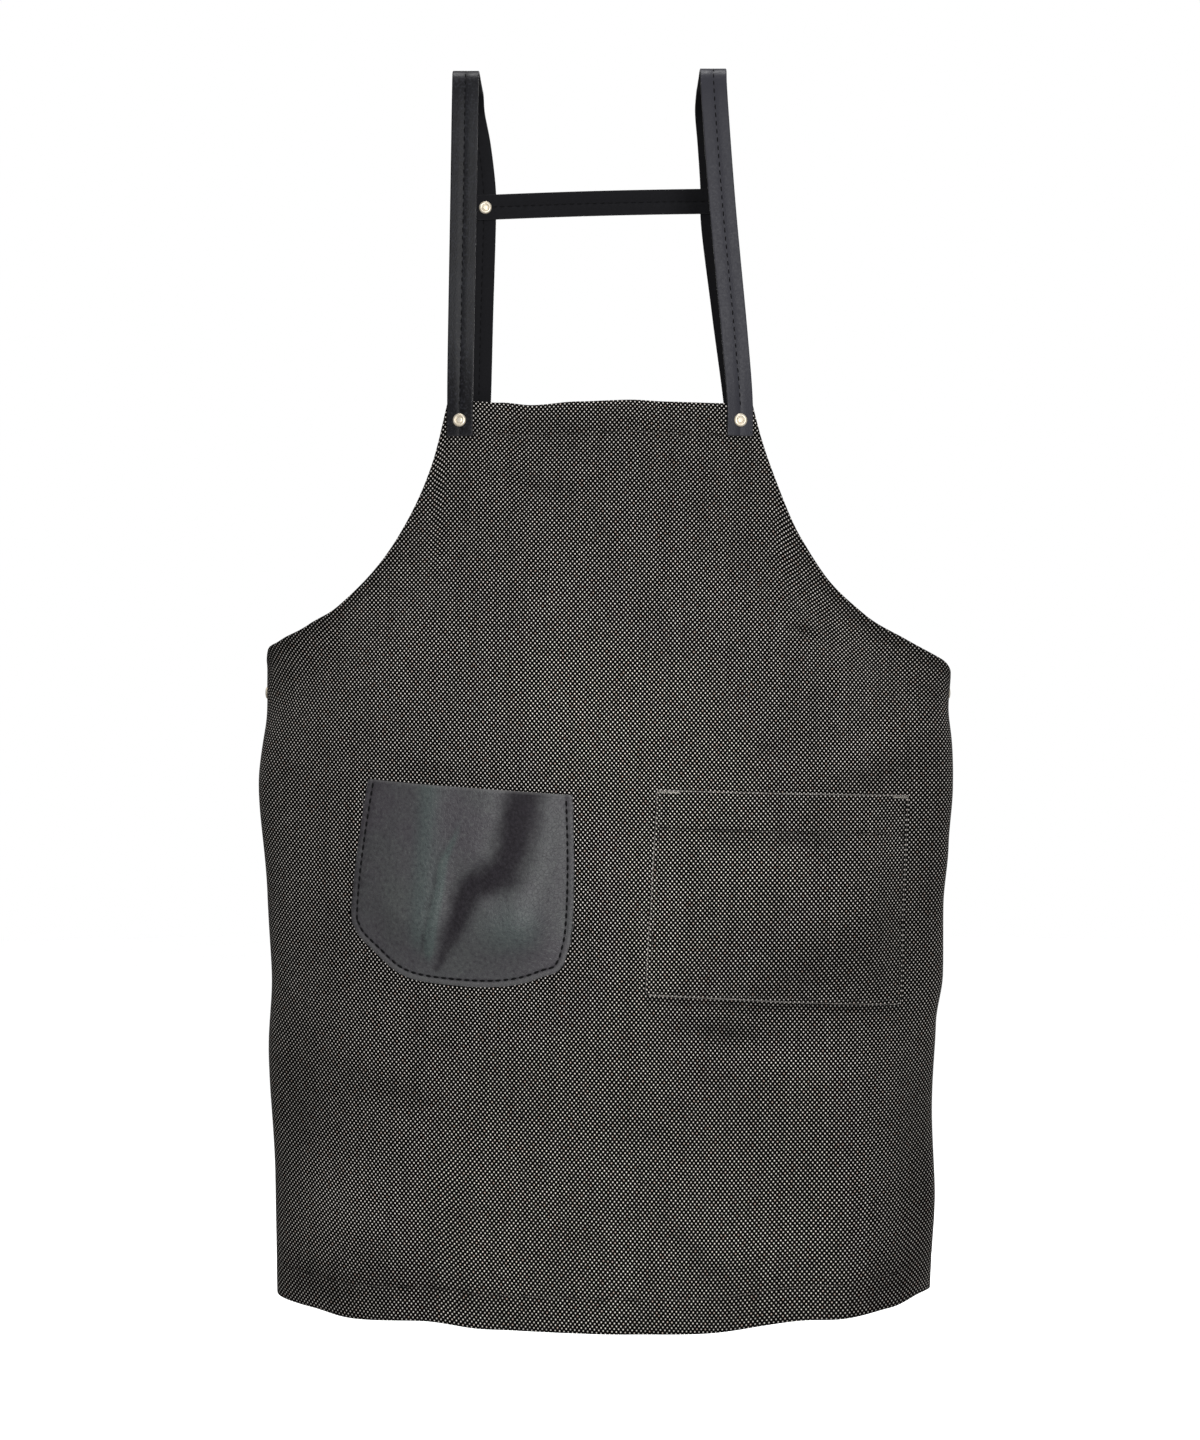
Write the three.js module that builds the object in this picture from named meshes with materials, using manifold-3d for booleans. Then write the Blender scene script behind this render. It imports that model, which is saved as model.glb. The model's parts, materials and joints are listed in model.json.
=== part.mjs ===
// A butcher's bib apron on a leather H-back harness, in the shape it has on the wearer.
// Millimetres, +Z up, the front faces -Y. The origin lies midway between the crowns of the two
// shoulder straps, at the height of the undersides that rest on the shoulders.
import * as THREE from 'three';
import { mergeVertices } from 'three/addons/utils/BufferGeometryUtils.js';
import Module from 'manifold-3d';

const wasm = await Module();
wasm.setup();

// Clearance kept between pieces that touch on the real apron
const gap = 0.3;

// Cloth, as cut and hemmed
const clothWidth = 880;
const clothLength = 885;
const clothThickness = 1.2;
const bibTopWidth = 294;
const armholeDrop = 250;

// Cloth, as it hangs: half an ellipse in plan, the same down to the waist and narrower at the hem
const waistHalfWidth = 345;
const hemHalfWidth = 331;
const waistWrap = 170;
const hemWrap = 162;

// The band of cloth below the harness that bends when the skirt swings
const bandBelowArmhole = 40;
const bandHeight = 63;

// Harness
const strapWidth = 25;
const strapThickness = 3;
const crownDepth = 140;
const frontCornerRadius = 18;
const backCornerRadius = 40;
const bibDrop = 315;
const leftCrownX = -128;
const rightCrownX = 108;
const crossStrapDrop = 97;
const strapEndBelowRivet = 15;

// Rivets
const capRadius = 6.4;
const capHeight = 2.4;
const postRadius = 2;
const socketDepth = 1.4;
const bibRivetInset = 13;
const bibRivetBelowEdge = 16;
const wingRivetInset = 16;
const wingRivetBelowEdge = 24;
const wingSlack = 0.5;

// Leather pocket, on the wearer's right
const leatherPocketTopWidth = 206;
const leatherPocketBellyWidth = 227;
const leatherPocketDepth = 190;
const leatherPocketCorner = 66;
const leatherPocketThickness = 1.8;
const leatherPocketGape = 14;
const leatherPocketTilt = THREE.MathUtils.degToRad(4);
const leatherPocketAlong = -131;
const leatherPocketBelowBib = 366;

// Cloth pocket, on the wearer's left
const clothPocketWidth = 268;
const clothPocketDepth = 204;
const clothPocketThickness = 1.6;
const clothPocketGape = 12;
const clothPocketTilt = THREE.MathUtils.degToRad(3);
const clothPocketAlong = 192;
const clothPocketBelowBib = 374;

// How far in from its sewn edge a pocket takes to stand clear of the cloth
const pocketSeam = 34;

const frontY = -crownDepth / 2;
const bibTopZ = -bibDrop;
const hemZ = bibTopZ - clothLength;
const wingZ = bibTopZ - armholeDrop;
const bandTopZ = wingZ - bandBelowArmhole;
const bandBottomZ = bandTopZ - bandHeight;
const bibRivetAlong = bibTopWidth / 2 - bibRivetInset;
const bibRivetZ = bibTopZ - bibRivetBelowEdge;
const wingRivetAlong = clothWidth / 2 - wingRivetInset;
const wingRivetZ = wingZ - wingRivetBelowEdge;
const crossStrapZ = -crossStrapDrop;
const strapOnCloth = clothThickness / 2 + gap + strapThickness / 2;

const canvas = new THREE.MeshStandardMaterial({ color: 0x4b4844, roughness: 0.95 });
const strapLeather = new THREE.MeshStandardMaterial({ color: 0x3a3b40, roughness: 0.55 });
const pocketLeather = new THREE.MeshStandardMaterial({ color: 0x424746, roughness: 0.45 });
const brass = new THREE.MeshStandardMaterial({ color: 0xd8c9a0, roughness: 0.3, metalness: 1 });

const apron = new THREE.Group();

function add(name, geometry, material) {
  const mesh = new THREE.Mesh(geometry, material);
  mesh.name = name;
  apron.add(mesh);
  return mesh;
}

function lerp(a, b, t) {
  return a + (b - a) * t;
}

// The right half of the apron's plan at height z, from the middle of the front round the side
const plans = new Map();
function planAt(z) {
  const key = z.toFixed(3);
  if (!plans.has(key)) {
    const down = THREE.MathUtils.clamp((bandBottomZ - z) / (bandBottomZ - hemZ), 0, 1);
    const halfWidth = lerp(waistHalfWidth, hemHalfWidth, down);
    const wrap = lerp(waistWrap, hemWrap, down);
    const roundTheBack = THREE.MathUtils.degToRad(85);
    const curve = new THREE.EllipseCurve(0, frontY + wrap, halfWidth, wrap, -Math.PI / 2, roundTheBack);
    plans.set(key, { curve, length: curve.getLength() });
  }
  return plans.get(key);
}

// The direction away from the wearer, where the cloth is `along` from the centre line
function awayAt(along, z) {
  const { curve, length } = planAt(z);
  const tangent = curve.getTangentAt(Math.abs(along) / length);
  return new THREE.Vector3(Math.sign(along || 1) * tangent.y, -tangent.x, 0);
}

// A point `along` the cloth from its centre line, at height z, standing `out` of its middle surface
function drape(along, z, out = 0) {
  const { curve, length } = planAt(z);
  const onPlan = curve.getPointAt(Math.abs(along) / length);
  const point = new THREE.Vector3(Math.sign(along || 1) * onPlan.x, onPlan.y, z);
  return point.addScaledVector(awayAt(along, z), out);
}

// A block of columns by rows whose every corner is moved by place(u, v, w), with u, v and w from -1 to 1
function bentBlock(columns, rows, place) {
  const geometry = new THREE.BoxGeometry(2, 2, 2, columns, rows, 1);
  const corners = geometry.attributes.position;
  for (let i = 0; i < corners.count; i += 1) {
    const point = place(corners.getX(i), corners.getY(i), corners.getZ(i));
    corners.setXYZ(i, point.x, point.y, point.z);
  }
  geometry.deleteAttribute('normal');
  geometry.deleteAttribute('uv');
  return mergeVertices(geometry, 1e-4);
}

function toSolid(geometry) {
  return new wasm.Manifold(new wasm.Mesh({
    numProp: 3,
    vertProperties: new Float32Array(geometry.attributes.position.array),
    triVerts: new Uint32Array(geometry.index.array),
  }));
}

function toGeometry(solid) {
  const { vertProperties, triVerts } = solid.getMesh();
  const geometry = new THREE.BufferGeometry();
  geometry.setAttribute('position', new THREE.BufferAttribute(vertProperties, 3));
  geometry.setIndex(new THREE.BufferAttribute(triVerts, 1));
  return geometry;
}

// Punches the holes that rivet posts pass through, each given by its centre and direction
function punch(geometry, holes) {
  let solid = toSolid(geometry);
  for (const { centre, away } of holes) {
    const drill = new THREE.CylinderGeometry(postRadius + gap, postRadius + gap, 16, 12);
    const turn = new THREE.Quaternion().setFromUnitVectors(new THREE.Vector3(0, 1, 0), away);
    drill.applyQuaternion(turn);
    drill.translate(centre.x, centre.y, centre.z);
    drill.deleteAttribute('normal');
    drill.deleteAttribute('uv');
    solid = solid.subtract(toSolid(mergeVertices(drill, 1e-4)));
  }
  return toGeometry(solid);
}

// Cloth ---------------------------------------------------------------------------------------

// Half width of the cloth and height, down one armhole
function armholeRows(count) {
  const run = (clothWidth - bibTopWidth) / 2;
  const armhole = new THREE.CubicBezierCurve(
    new THREE.Vector2(bibTopWidth / 2, bibTopZ),
    new THREE.Vector2(bibTopWidth / 2 + 0.11 * run, bibTopZ - 0.55 * armholeDrop),
    new THREE.Vector2(bibTopWidth / 2 + 0.36 * run, bibTopZ - 0.87 * armholeDrop),
    new THREE.Vector2(clothWidth / 2, wingZ),
  );
  return armhole.getPoints(count).map((point) => ({ half: point.x, z: point.y }));
}

function straightRows(fromZ, toZ, count) {
  return Array.from({ length: count + 1 }, (_, i) => ({
    half: clothWidth / 2,
    z: lerp(fromZ, toZ, i / count),
  }));
}

// A sheet of cloth between rows listed from the top down, with its columns closer together at the sides
function clothSheet(rows, columns) {
  return bentBlock(columns, rows.length - 1, (u, v, w) => {
    const row = rows[Math.round(((1 - v) / 2) * (rows.length - 1))];
    const across = lerp(u, Math.sin((u * Math.PI) / 2), 0.6);
    return drape(across * row.half, row.z, (w * clothThickness) / 2);
  });
}

function rivetHole(along, z) {
  return { centre: drape(along, z), away: awayAt(along, z) };
}

function buildCloth() {
  const columns = 36;
  const bibRows = [...armholeRows(11), ...straightRows(wingZ, bandTopZ, 2).slice(1)];
  const holes = [-1, 1].flatMap((side) => [
    rivetHole(side * bibRivetAlong, bibRivetZ),
    rivetHole(side * wingRivetAlong, wingRivetZ),
  ]);
  add('bib_panel', punch(clothSheet(bibRows, columns), holes), canvas);
  add('waist_panel', clothSheet(straightRows(bandTopZ - gap, bandBottomZ, 2), columns), canvas);
  add('skirt_panel', clothSheet(straightRows(bandBottomZ - gap, hemZ, 5), columns), canvas);
}

// Pockets -------------------------------------------------------------------------------------

// How far a pocket's inner face stands off the cloth, `inFromSide` and `upFromBottom` from its seams
function stand(gape, inFromSide, upFromBottom) {
  const side = THREE.MathUtils.smoothstep(inFromSide, 0, pocketSeam);
  const bottom = THREE.MathUtils.smoothstep(upFromBottom, 0, pocketSeam);
  return gap + gape * side * bottom;
}

// A patch sewn to the skirt along its sides and bottom. halfWidthAt(down) and depthAt(u) are its outline
function patchPocket(shape) {
  const { along, topZ, tilt, gape, thickness, columns, rows, halfWidthAt, depthAt } = shape;
  return bentBlock(columns, rows, (u, v, w) => {
    const across = Math.sin((u * Math.PI) / 2);
    const down = Math.sin(((1 - v) * Math.PI) / 4) * depthAt(across);
    const half = halfWidthAt(down);
    const x = across * half;
    const inFromSide = half - Math.abs(x);
    const off = stand(gape, inFromSide, depthAt(across) - down) + ((w + 1) / 2) * thickness;
    const turnedX = x * Math.cos(tilt) - down * Math.sin(tilt);
    const turnedDown = x * Math.sin(tilt) + down * Math.cos(tilt);
    return drape(along + turnedX, topZ - turnedDown, clothThickness / 2 + off);
  });
}

function buildLeatherPocket() {
  const sideDepth = leatherPocketDepth - leatherPocketCorner;
  const pocket = patchPocket({
    along: leatherPocketAlong,
    topZ: bibTopZ - leatherPocketBelowBib,
    tilt: leatherPocketTilt,
    gape: leatherPocketGape,
    thickness: leatherPocketThickness,
    columns: 18,
    rows: 12,
    halfWidthAt: (down) => {
      const belly = Math.sin(Math.min(down / sideDepth, 1) * (Math.PI / 2));
      return lerp(leatherPocketTopWidth, leatherPocketBellyWidth, belly) / 2;
    },
    depthAt: (across) => sideDepth + leatherPocketCorner * (1 - Math.abs(across) ** 2.6) ** (1 / 2.6),
  });
  add('leather_pocket', pocket, pocketLeather);
}

function buildClothPocket() {
  const pocket = patchPocket({
    along: clothPocketAlong,
    topZ: bibTopZ - clothPocketBelowBib,
    tilt: clothPocketTilt,
    gape: clothPocketGape,
    thickness: clothPocketThickness,
    columns: 18,
    rows: 10,
    halfWidthAt: () => clothPocketWidth / 2,
    depthAt: () => clothPocketDepth,
  });
  add('cloth_pocket', pocket, canvas);
}

// Harness -------------------------------------------------------------------------------------

const front = new THREE.Vector3(0, -1, 0);
const up = new THREE.Vector3(0, 0, 1);
const back = new THREE.Vector3(0, 1, 0);

// A flat strap through stations, each with its place and the direction that its outer face looks in
function flatStrap(stations, stepsBetween) {
  const path = new THREE.CatmullRomCurve3(stations.map((station) => station.at), false, 'centripetal');
  const spans = stations.length - 1;
  return bentBlock(1, spans * stepsBetween, (u, v, w) => {
    const t = (v + 1) / 2;
    const span = Math.min(Math.floor(t * spans + 1e-6), spans - 1);
    const away = stations[span].away.clone().lerp(stations[span + 1].away, t * spans - span);
    const ahead = path.getTangent(t);
    const across = ahead.clone().cross(away).normalize();
    const outward = across.clone().cross(ahead);
    return path.getPoint(t)
      .addScaledVector(across, (u * strapWidth) / 2)
      .addScaledVector(outward, (w * strapThickness) / 2);
  });
}

function station(x, y, z, away) {
  return { at: new THREE.Vector3(x, y, z), away: away.clone().normalize() };
}

// side is -1 or 1; the x values are the strap's middle at the crown, at the cross strap and level with the bib
function shoulderStrap(side, crownX, crossX, lowX) {
  const mid = strapThickness / 2;
  const frontBend = frontCornerRadius * Math.SQRT1_2;
  const backBend = backCornerRadius * Math.SQRT1_2;
  const flatFrom = frontY + frontCornerRadius;
  const flatTo = -frontY - backCornerRadius;
  const bibAt = drape(side * bibRivetAlong, bibRivetZ - strapEndBelowRivet, strapOnCloth);
  const bibTop = drape(side * bibRivetAlong, bibTopZ, strapOnCloth);
  const bibAway = awayAt(side * bibRivetAlong, bibRivetZ);
  const nearBib = new THREE.Vector3(lerp(bibTop.x, crownX, 0.2), lerp(bibTop.y, frontY, 0.3), bibTopZ * 0.8);
  const stations = [
    { at: bibAt, away: bibAway },
    { at: bibTop, away: bibAway },
    { at: nearBib, away: front },
    station(lerp(nearBib.x, crownX, 0.6), frontY, bibTopZ * 0.4, front),
    station(crownX, frontY, mid - frontCornerRadius, front),
    station(crownX, flatFrom - frontBend, mid - frontCornerRadius + frontBend, up.clone().add(front)),
  ];
  for (const share of [0, 0.33, 0.67, 1]) {
    stations.push(station(crownX, lerp(flatFrom, flatTo, share), mid, up));
  }
  stations.push(
    station(crownX, flatTo + backBend, mid - backCornerRadius + backBend, up.clone().add(back)),
    station(lerp(crownX, crossX, 0.5), -frontY, mid - backCornerRadius, back),
    station(crossX, -frontY, crossStrapZ + strapWidth / 2, back),
    station(crossX, -frontY, crossStrapZ - strapWidth / 2, back),
    station(lerp(crossX, lowX, 0.45), -frontY + 3, lerp(crossStrapZ, bibTopZ, 0.5), back),
    station(lowX, -frontY + 12, bibTopZ, back),
  );
  stations.push(...turnToWing(side, lowX));
  return flatStrap(stations, 3);
}

// The last of a strap: out from the back, round to the inside of the wing, flat against the cloth
function turnToWing(side, lowX) {
  const z = wingRivetZ;
  const edge = clothWidth / 2;
  const reach = Math.abs(drape(edge, z).x);
  const behind = drape(edge, z).y;
  const toX = (share) => side * lerp(Math.abs(lowX), reach, share);
  const turns = [
    station(toX(0.04), behind - 8, lerp(bibTopZ, z, 0.42), back),
    station(toX(0.2), behind + 22, lerp(bibTopZ, z, 0.75), back),
    station(toX(0.48), behind + 44, lerp(bibTopZ, z, 0.95), back),
    station(toX(0.78), behind + 46, z, back),
  ];
  for (const past of [34, 14, -8, -wingRivetInset, -wingRivetInset - strapEndBelowRivet]) {
    const along = side * (edge + past);
    turns.push({ at: drape(along, z, -strapOnCloth - wingSlack / 2), away: awayAt(along, z) });
  }
  return turns;
}

const crossings = [
  { side: -1, name: 'left', crownX: leftCrownX, crossX: -117.5, lowX: -124 },
  { side: 1, name: 'right', crownX: rightCrownX, crossX: 114, lowX: 140 },
];
const crossStrapY = -frontY - strapThickness - gap;

function buildHarness() {
  for (const { side, name, crownX, crossX, lowX } of crossings) {
    const holes = [
      rivetHole(side * bibRivetAlong, bibRivetZ),
      rivetHole(side * wingRivetAlong, wingRivetZ),
      { centre: new THREE.Vector3(crossX, -frontY, crossStrapZ), away: front },
    ];
    add(`${name}_shoulder_strap`, punch(shoulderStrap(side, crownX, crossX, lowX), holes), strapLeather);
  }
  const [left, right] = crossings;
  const ends = strapWidth / 2;
  const cross = bentBlock(8, 1, (u, v, w) => new THREE.Vector3(
    lerp(left.crossX - ends, right.crossX + ends, (u + 1) / 2),
    crossStrapY - (w * strapThickness) / 2,
    crossStrapZ + (v * strapWidth) / 2,
  ));
  const holes = crossings.map(({ crossX }) => (
    { centre: new THREE.Vector3(crossX, crossStrapY, crossStrapZ), away: front }
  ));
  add('cross_strap', punch(cross, holes), strapLeather);
}

// Rivets --------------------------------------------------------------------------------------

function lathe(points) {
  const profile = points.map(([radius, height]) => new THREE.Vector2(radius, height));
  const geometry = new THREE.LatheGeometry(profile, 16);
  geometry.rotateX(Math.PI / 2);
  geometry.deleteAttribute('normal');
  geometry.deleteAttribute('uv');
  return mergeVertices(geometry, 1e-4);
}

// Cap and post in one, standing on the face at z = 0, for a stack of the given thickness
function rivetCap(stack) {
  const tip = -stack - 2 * gap - (socketDepth - gap);
  return lathe([
    [0, tip], [postRadius, tip], [postRadius, 0], [capRadius, 0], [capRadius, capHeight * 0.45],
    [capRadius * 0.86, capHeight * 0.95], [capRadius * 0.62, capHeight], [capRadius * 0.56, capHeight * 0.7],
    [0, capHeight * 0.72],
  ]);
}

// The cap on the other face, with a blind socket for the post
function rivetBase() {
  const top = -capHeight * 0.9;
  return lathe([
    [0, top], [capRadius * 0.8, top], [capRadius * 0.96, top * 0.5], [capRadius * 0.96, 0],
    [postRadius + gap, 0], [postRadius + gap, -socketDepth], [0, -socketDepth],
  ]);
}

// A rivet through a stack whose near face is at `face`, seen from the side that `away` points to
function rivet(name, face, away, stack) {
  const turn = new THREE.Quaternion().setFromUnitVectors(up, away);
  const cap = add(`${name}_rivet_cap`, rivetCap(stack), brass);
  const base = add(`${name}_rivet_base`, rivetBase(), brass);
  cap.position.copy(face).addScaledVector(away, gap);
  base.position.copy(face).addScaledVector(away, -stack - gap);
  cap.quaternion.copy(turn);
  base.quaternion.copy(turn);
}

function buildRivets() {
  const onCloth = strapThickness + gap + clothThickness;
  const onStrap = 2 * strapThickness + gap;
  for (const { side, name, crossX } of crossings) {
    const bibFace = drape(side * bibRivetAlong, bibRivetZ, strapOnCloth + strapThickness / 2);
    rivet(`${name}_bib`, bibFace, awayAt(side * bibRivetAlong, bibRivetZ), onCloth);
    const wingFace = drape(side * wingRivetAlong, wingRivetZ, clothThickness / 2);
    rivet(`${name}_wing`, wingFace, awayAt(side * wingRivetAlong, wingRivetZ), onCloth + wingSlack);
    const crossFace = new THREE.Vector3(crossX, crossStrapY - strapThickness / 2, crossStrapZ);
    rivet(`${name}_cross`, crossFace, front, onStrap);
  }
}

buildCloth();
buildLeatherPocket();
buildClothPocket();
buildHarness();
buildRivets();

export default apron;
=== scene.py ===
import json
import math
import random

import bmesh
import bpy
from mathutils import Matrix, Vector, noise
from mathutils.kdtree import KDTree
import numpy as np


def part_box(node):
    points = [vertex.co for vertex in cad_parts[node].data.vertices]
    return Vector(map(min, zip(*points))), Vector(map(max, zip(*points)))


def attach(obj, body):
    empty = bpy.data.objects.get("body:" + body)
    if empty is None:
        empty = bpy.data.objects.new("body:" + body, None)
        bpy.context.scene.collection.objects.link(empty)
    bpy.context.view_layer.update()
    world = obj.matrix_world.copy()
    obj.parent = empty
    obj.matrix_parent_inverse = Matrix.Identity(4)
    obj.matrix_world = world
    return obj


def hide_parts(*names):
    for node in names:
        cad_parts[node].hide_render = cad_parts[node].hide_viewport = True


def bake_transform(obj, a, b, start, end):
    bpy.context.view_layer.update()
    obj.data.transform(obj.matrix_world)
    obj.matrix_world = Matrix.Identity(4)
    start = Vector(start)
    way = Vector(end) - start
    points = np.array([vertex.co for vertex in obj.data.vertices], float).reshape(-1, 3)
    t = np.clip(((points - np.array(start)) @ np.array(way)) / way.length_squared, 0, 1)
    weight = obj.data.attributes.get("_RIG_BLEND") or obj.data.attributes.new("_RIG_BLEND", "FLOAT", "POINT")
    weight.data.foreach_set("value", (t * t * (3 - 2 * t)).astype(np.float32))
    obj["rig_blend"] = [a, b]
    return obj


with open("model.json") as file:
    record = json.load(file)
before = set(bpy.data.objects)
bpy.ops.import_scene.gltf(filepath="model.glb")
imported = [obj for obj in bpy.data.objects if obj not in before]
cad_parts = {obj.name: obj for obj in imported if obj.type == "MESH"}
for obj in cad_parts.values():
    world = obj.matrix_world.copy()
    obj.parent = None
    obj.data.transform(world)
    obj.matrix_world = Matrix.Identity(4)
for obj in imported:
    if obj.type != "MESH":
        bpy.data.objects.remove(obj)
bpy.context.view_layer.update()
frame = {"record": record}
print("frame loaded")


# Small sums that every piece uses

def mix(a, b, share):
    return a + (b - a) * share


def clamp(value, low=0.0, high=1.0):
    return max(low, min(high, value))


def ease(value, low, high):
    share = clamp((value - low) / (high - low))
    return share * share * (3 - 2 * share)


def hump(value, centre, width):
    return math.exp(-(((value - centre) / width) ** 2))


def through(stops, place):  # eased from stop to stop, each a (place, value) pair in rising order
    if place <= stops[0][0]:
        return stops[0][1]
    for (fromPlace, fromValue), (toPlace, toValue) in zip(stops, stops[1:]):
        if place <= toPlace:
            return mix(fromValue, toValue, ease(place, fromPlace, toPlace))
    return stops[-1][1]


def curveThrough(points, t):  # centripetal, and even in t from point to point
    spans = len(points) - 1
    span = min(int(t * spans), spans - 1)
    share = t * spans - span
    p1, p2 = points[span], points[span + 1]
    p0 = points[span - 1] if span > 0 else p1 * 2 - p2
    p3 = points[span + 2] if span + 2 <= spans else p2 * 2 - p1
    d0, d1, d2 = ((b - a).length ** 0.5 for a, b in ((p0, p1), (p1, p2), (p2, p3)))
    slope1 = ((p1 - p0) / d0 - (p2 - p0) / (d0 + d1) + (p2 - p1) / d1) * d1
    slope2 = ((p2 - p1) / d1 - (p3 - p1) / (d1 + d2) + (p3 - p2) / d2) * d1
    c2 = (p2 - p1) * 3 - slope1 * 2 - slope2
    c3 = (p1 - p2) * 2 + slope1 + slope2
    return p1 + slope1 * share + c2 * share ** 2 + c3 * share ** 3


def nearest(places):  # a tree that finds the closest of these places
    tree = KDTree(len(places))
    for number, place in enumerate(places):
        tree.insert(place, number)
    tree.balance()
    return tree


# The cloth on the wearer: half an ellipse in plan, with the relief that the body and the hem give it

cloth = {
    "width": 0.88,
    "bibWidth": 0.294,
    "armholeDrop": 0.25,
    "wingCorner": 0.014,
    "thickness": 0.0012,
    "waistHalfWidth": 0.345,
    "hemHalfWidth": 0.331,
    "waistWrap": 0.17,
    "hemWrap": 0.162,
    "bibHem": 0.030,
    "bottomHem": 0.033,
    "sideHem": 0.010,
    "flute": 0.0035,
    "fluteWidth": 0.23,
    "drag": 0.0032,
    "ripple": 0.0011,
}

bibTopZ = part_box("bib_panel")[1].z
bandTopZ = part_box("waist_panel")[1].z
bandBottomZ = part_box("waist_panel")[0].z
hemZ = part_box("skirt_panel")[0].z
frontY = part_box("waist_panel")[0].y + cloth["thickness"] / 2
wingZ = bibTopZ - cloth["armholeDrop"]

# How far each side of the cloth stands out past its even shape, by depth below the bib
sideSway = {
    -1: [(0.22, -0.002), (0.25, -0.006), (0.30, -0.003), (0.37, 0.003), (0.48, -0.003), (0.56, -0.005),
         (0.64, 0.000), (0.76, -0.004), (0.88, -0.003)],
    1: [(0.20, 0.004), (0.25, 0.012), (0.37, 0.015), (0.43, 0.012), (0.49, 0.008),
        (0.56, 0.009), (0.61, 0.003), (0.69, 0.001), (0.79, 0.007), (0.88, 0.004)],
}
# How far the bottom hem and the bib's edge rise above level, by place along the cloth
hemRise = [(-0.42, 0.004), (-0.30, 0.0045), (-0.255, 0.002), (-0.17, 0.0065), (-0.11, 0.001), (0.03, 0.0),
           (0.105, -0.0025), (0.20, 0.0045), (0.24, 0.0025), (0.30, 0.005), (0.35, 0.010), (0.42, 0.006)]
bibRise = [(-0.125, 0.0028), (-0.095, 0.0005), (-0.065, -0.0025), (-0.02, 0.0007), (0.03, 0.0024),
           (0.065, 0.0008), (0.125, -0.0004)]
# How far the armhole's edge rises on each side, by place along the cloth
armholeRise = {
    -1: [(0.148, -0.001), (0.162, -0.0065), (0.195, -0.004), (0.265, -0.0025), (0.30, 0.002),
         (0.345, 0.0065), (0.375, 0.0095), (0.405, 0.003)],
    1: [(0.165, 0.001), (0.196, -0.0065), (0.23, -0.010), (0.265, -0.0085), (0.32, -0.004), (0.37, -0.0042),
        (0.405, -0.009)],
}
# Short creases: along, below the bib, length, reach, height
creases = [(0.150, 0.323, 0.020, 0.0030, -0.0022), (0.204, 0.218, 0.014, 0.0035, -0.0020),
           (0.166, 0.272, 0.016, 0.0030, -0.0016), (0.205, 0.290, 0.012, 0.0400, 0.0010)]

# Painted shade and painted highlight, darker or paler where the folds and the light make it so: along, below
# the bib, length, reach, slope, amount
shades = [
    (0.00, 0.34, 0.210, 0.230, 0.0, 0.17), (0.00, 0.80, 0.190, 0.120, 0.0, 0.12),
    (-0.255, 0.765, 0.070, 0.034, 0.3, 0.24), (-0.315, 0.655, 0.050, 0.085, 0.0, -0.16),
    (-0.196, 0.660, 0.055, 0.014, 0.2, -0.20), (-0.290, 0.860, 0.070, 0.026, 0.1, -0.26),
    (-0.170, 0.850, 0.090, 0.016, 0.1, -0.18), (0.125, 0.600, 0.050, 0.009, 0.15, -0.30),
    (0.120, 0.645, 0.045, 0.008, 0.3, -0.12), (0.186, 0.622, 0.060, 0.020, 0.1, 0.14),
    (0.300, 0.520, 0.075, 0.060, -0.5, -0.20), (0.200, 0.540, 0.080, 0.030, -0.5, -0.16),
    (0.150, 0.435, 0.060, 0.026, 0.1, 0.14), (0.185, 0.417, 0.045, 0.0045, 0.06, -0.26),
    (0.120, 0.415, 0.020, 0.016, 0.4, -0.16), (0.256, 0.330, 0.060, 0.013, -0.35, 0.24),
    (0.290, 0.352, 0.050, 0.010, -0.25, -0.18), (0.209, 0.285, 0.004, 0.050, 0.0, -0.20),
    (0.199, 0.214, 0.012, 0.005, 0.1, -0.36), (0.161, 0.328, 0.011, 0.005, 0.0, -0.34),
    (0.345, 0.780, 0.045, 0.120, 0.0, -0.24), (0.290, 0.868, 0.060, 0.032, -0.2, -0.22),
    (0.088, 0.805, 0.035, 0.009, 0.8, -0.20), (0.160, 0.800, 0.045, 0.022, 0.0, 0.14),
    (0.060, 0.700, 0.030, 0.012, 0.5, -0.12), (-0.050, 0.080, 0.036, 0.009, 0.3, -0.16),
    (-0.028, 0.064, 0.022, 0.012, 0.0, 0.12), (-0.050, 0.022, 0.060, 0.007, 0.0, -0.10),
    (-0.030, 0.790, 0.050, 0.008, 0.3, -0.12), (-0.150, 0.350, 0.070, 0.008, 0.1, -0.10),
]

# painted shade on the bib and along the armhole's edge, and the gain of the painted bands above
paintedLightAndWear = {"bib": 0.10, "armholeEdge": 0.40, "gain": 1.35}
weaveOpening = {"step": 0.005, "least": 0.5, "power": 0.8}
waistBend = {"above": 0.012, "below": 0.105}
planTables = {}


def planAt(z):
    key = round(z, 4)
    if key not in planTables:
        down = clamp((bandBottomZ - z) / (bandBottomZ - hemZ))
        halfWidth = mix(cloth["waistHalfWidth"], cloth["hemHalfWidth"], down)
        wrap = mix(cloth["waistWrap"], cloth["hemWrap"], down)
        turns = [math.radians(-90 + 0.5 * step) for step in range(361)]
        points = [Vector((halfWidth * math.cos(a), frontY + wrap * (1 + math.sin(a)))) for a in turns]
        lengths = [0.0]
        for before, after in zip(points, points[1:]):
            lengths.append(lengths[-1] + (after - before).length)
        planTables[key] = (halfWidth, wrap, turns, lengths)
    return planTables[key]


def turnAt(along, z):  # the ellipse's angle where the cloth is this far along
    halfWidth, wrap, turns, lengths = planAt(z)
    low, high = 0, len(lengths) - 1
    while high - low > 1:
        middle = (low + high) // 2
        low, high = (middle, high) if lengths[middle] <= abs(along) else (low, middle)
    share = (abs(along) - lengths[low]) / (lengths[high] - lengths[low])
    return halfWidth, wrap, mix(turns[low], turns[high], share)


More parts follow.
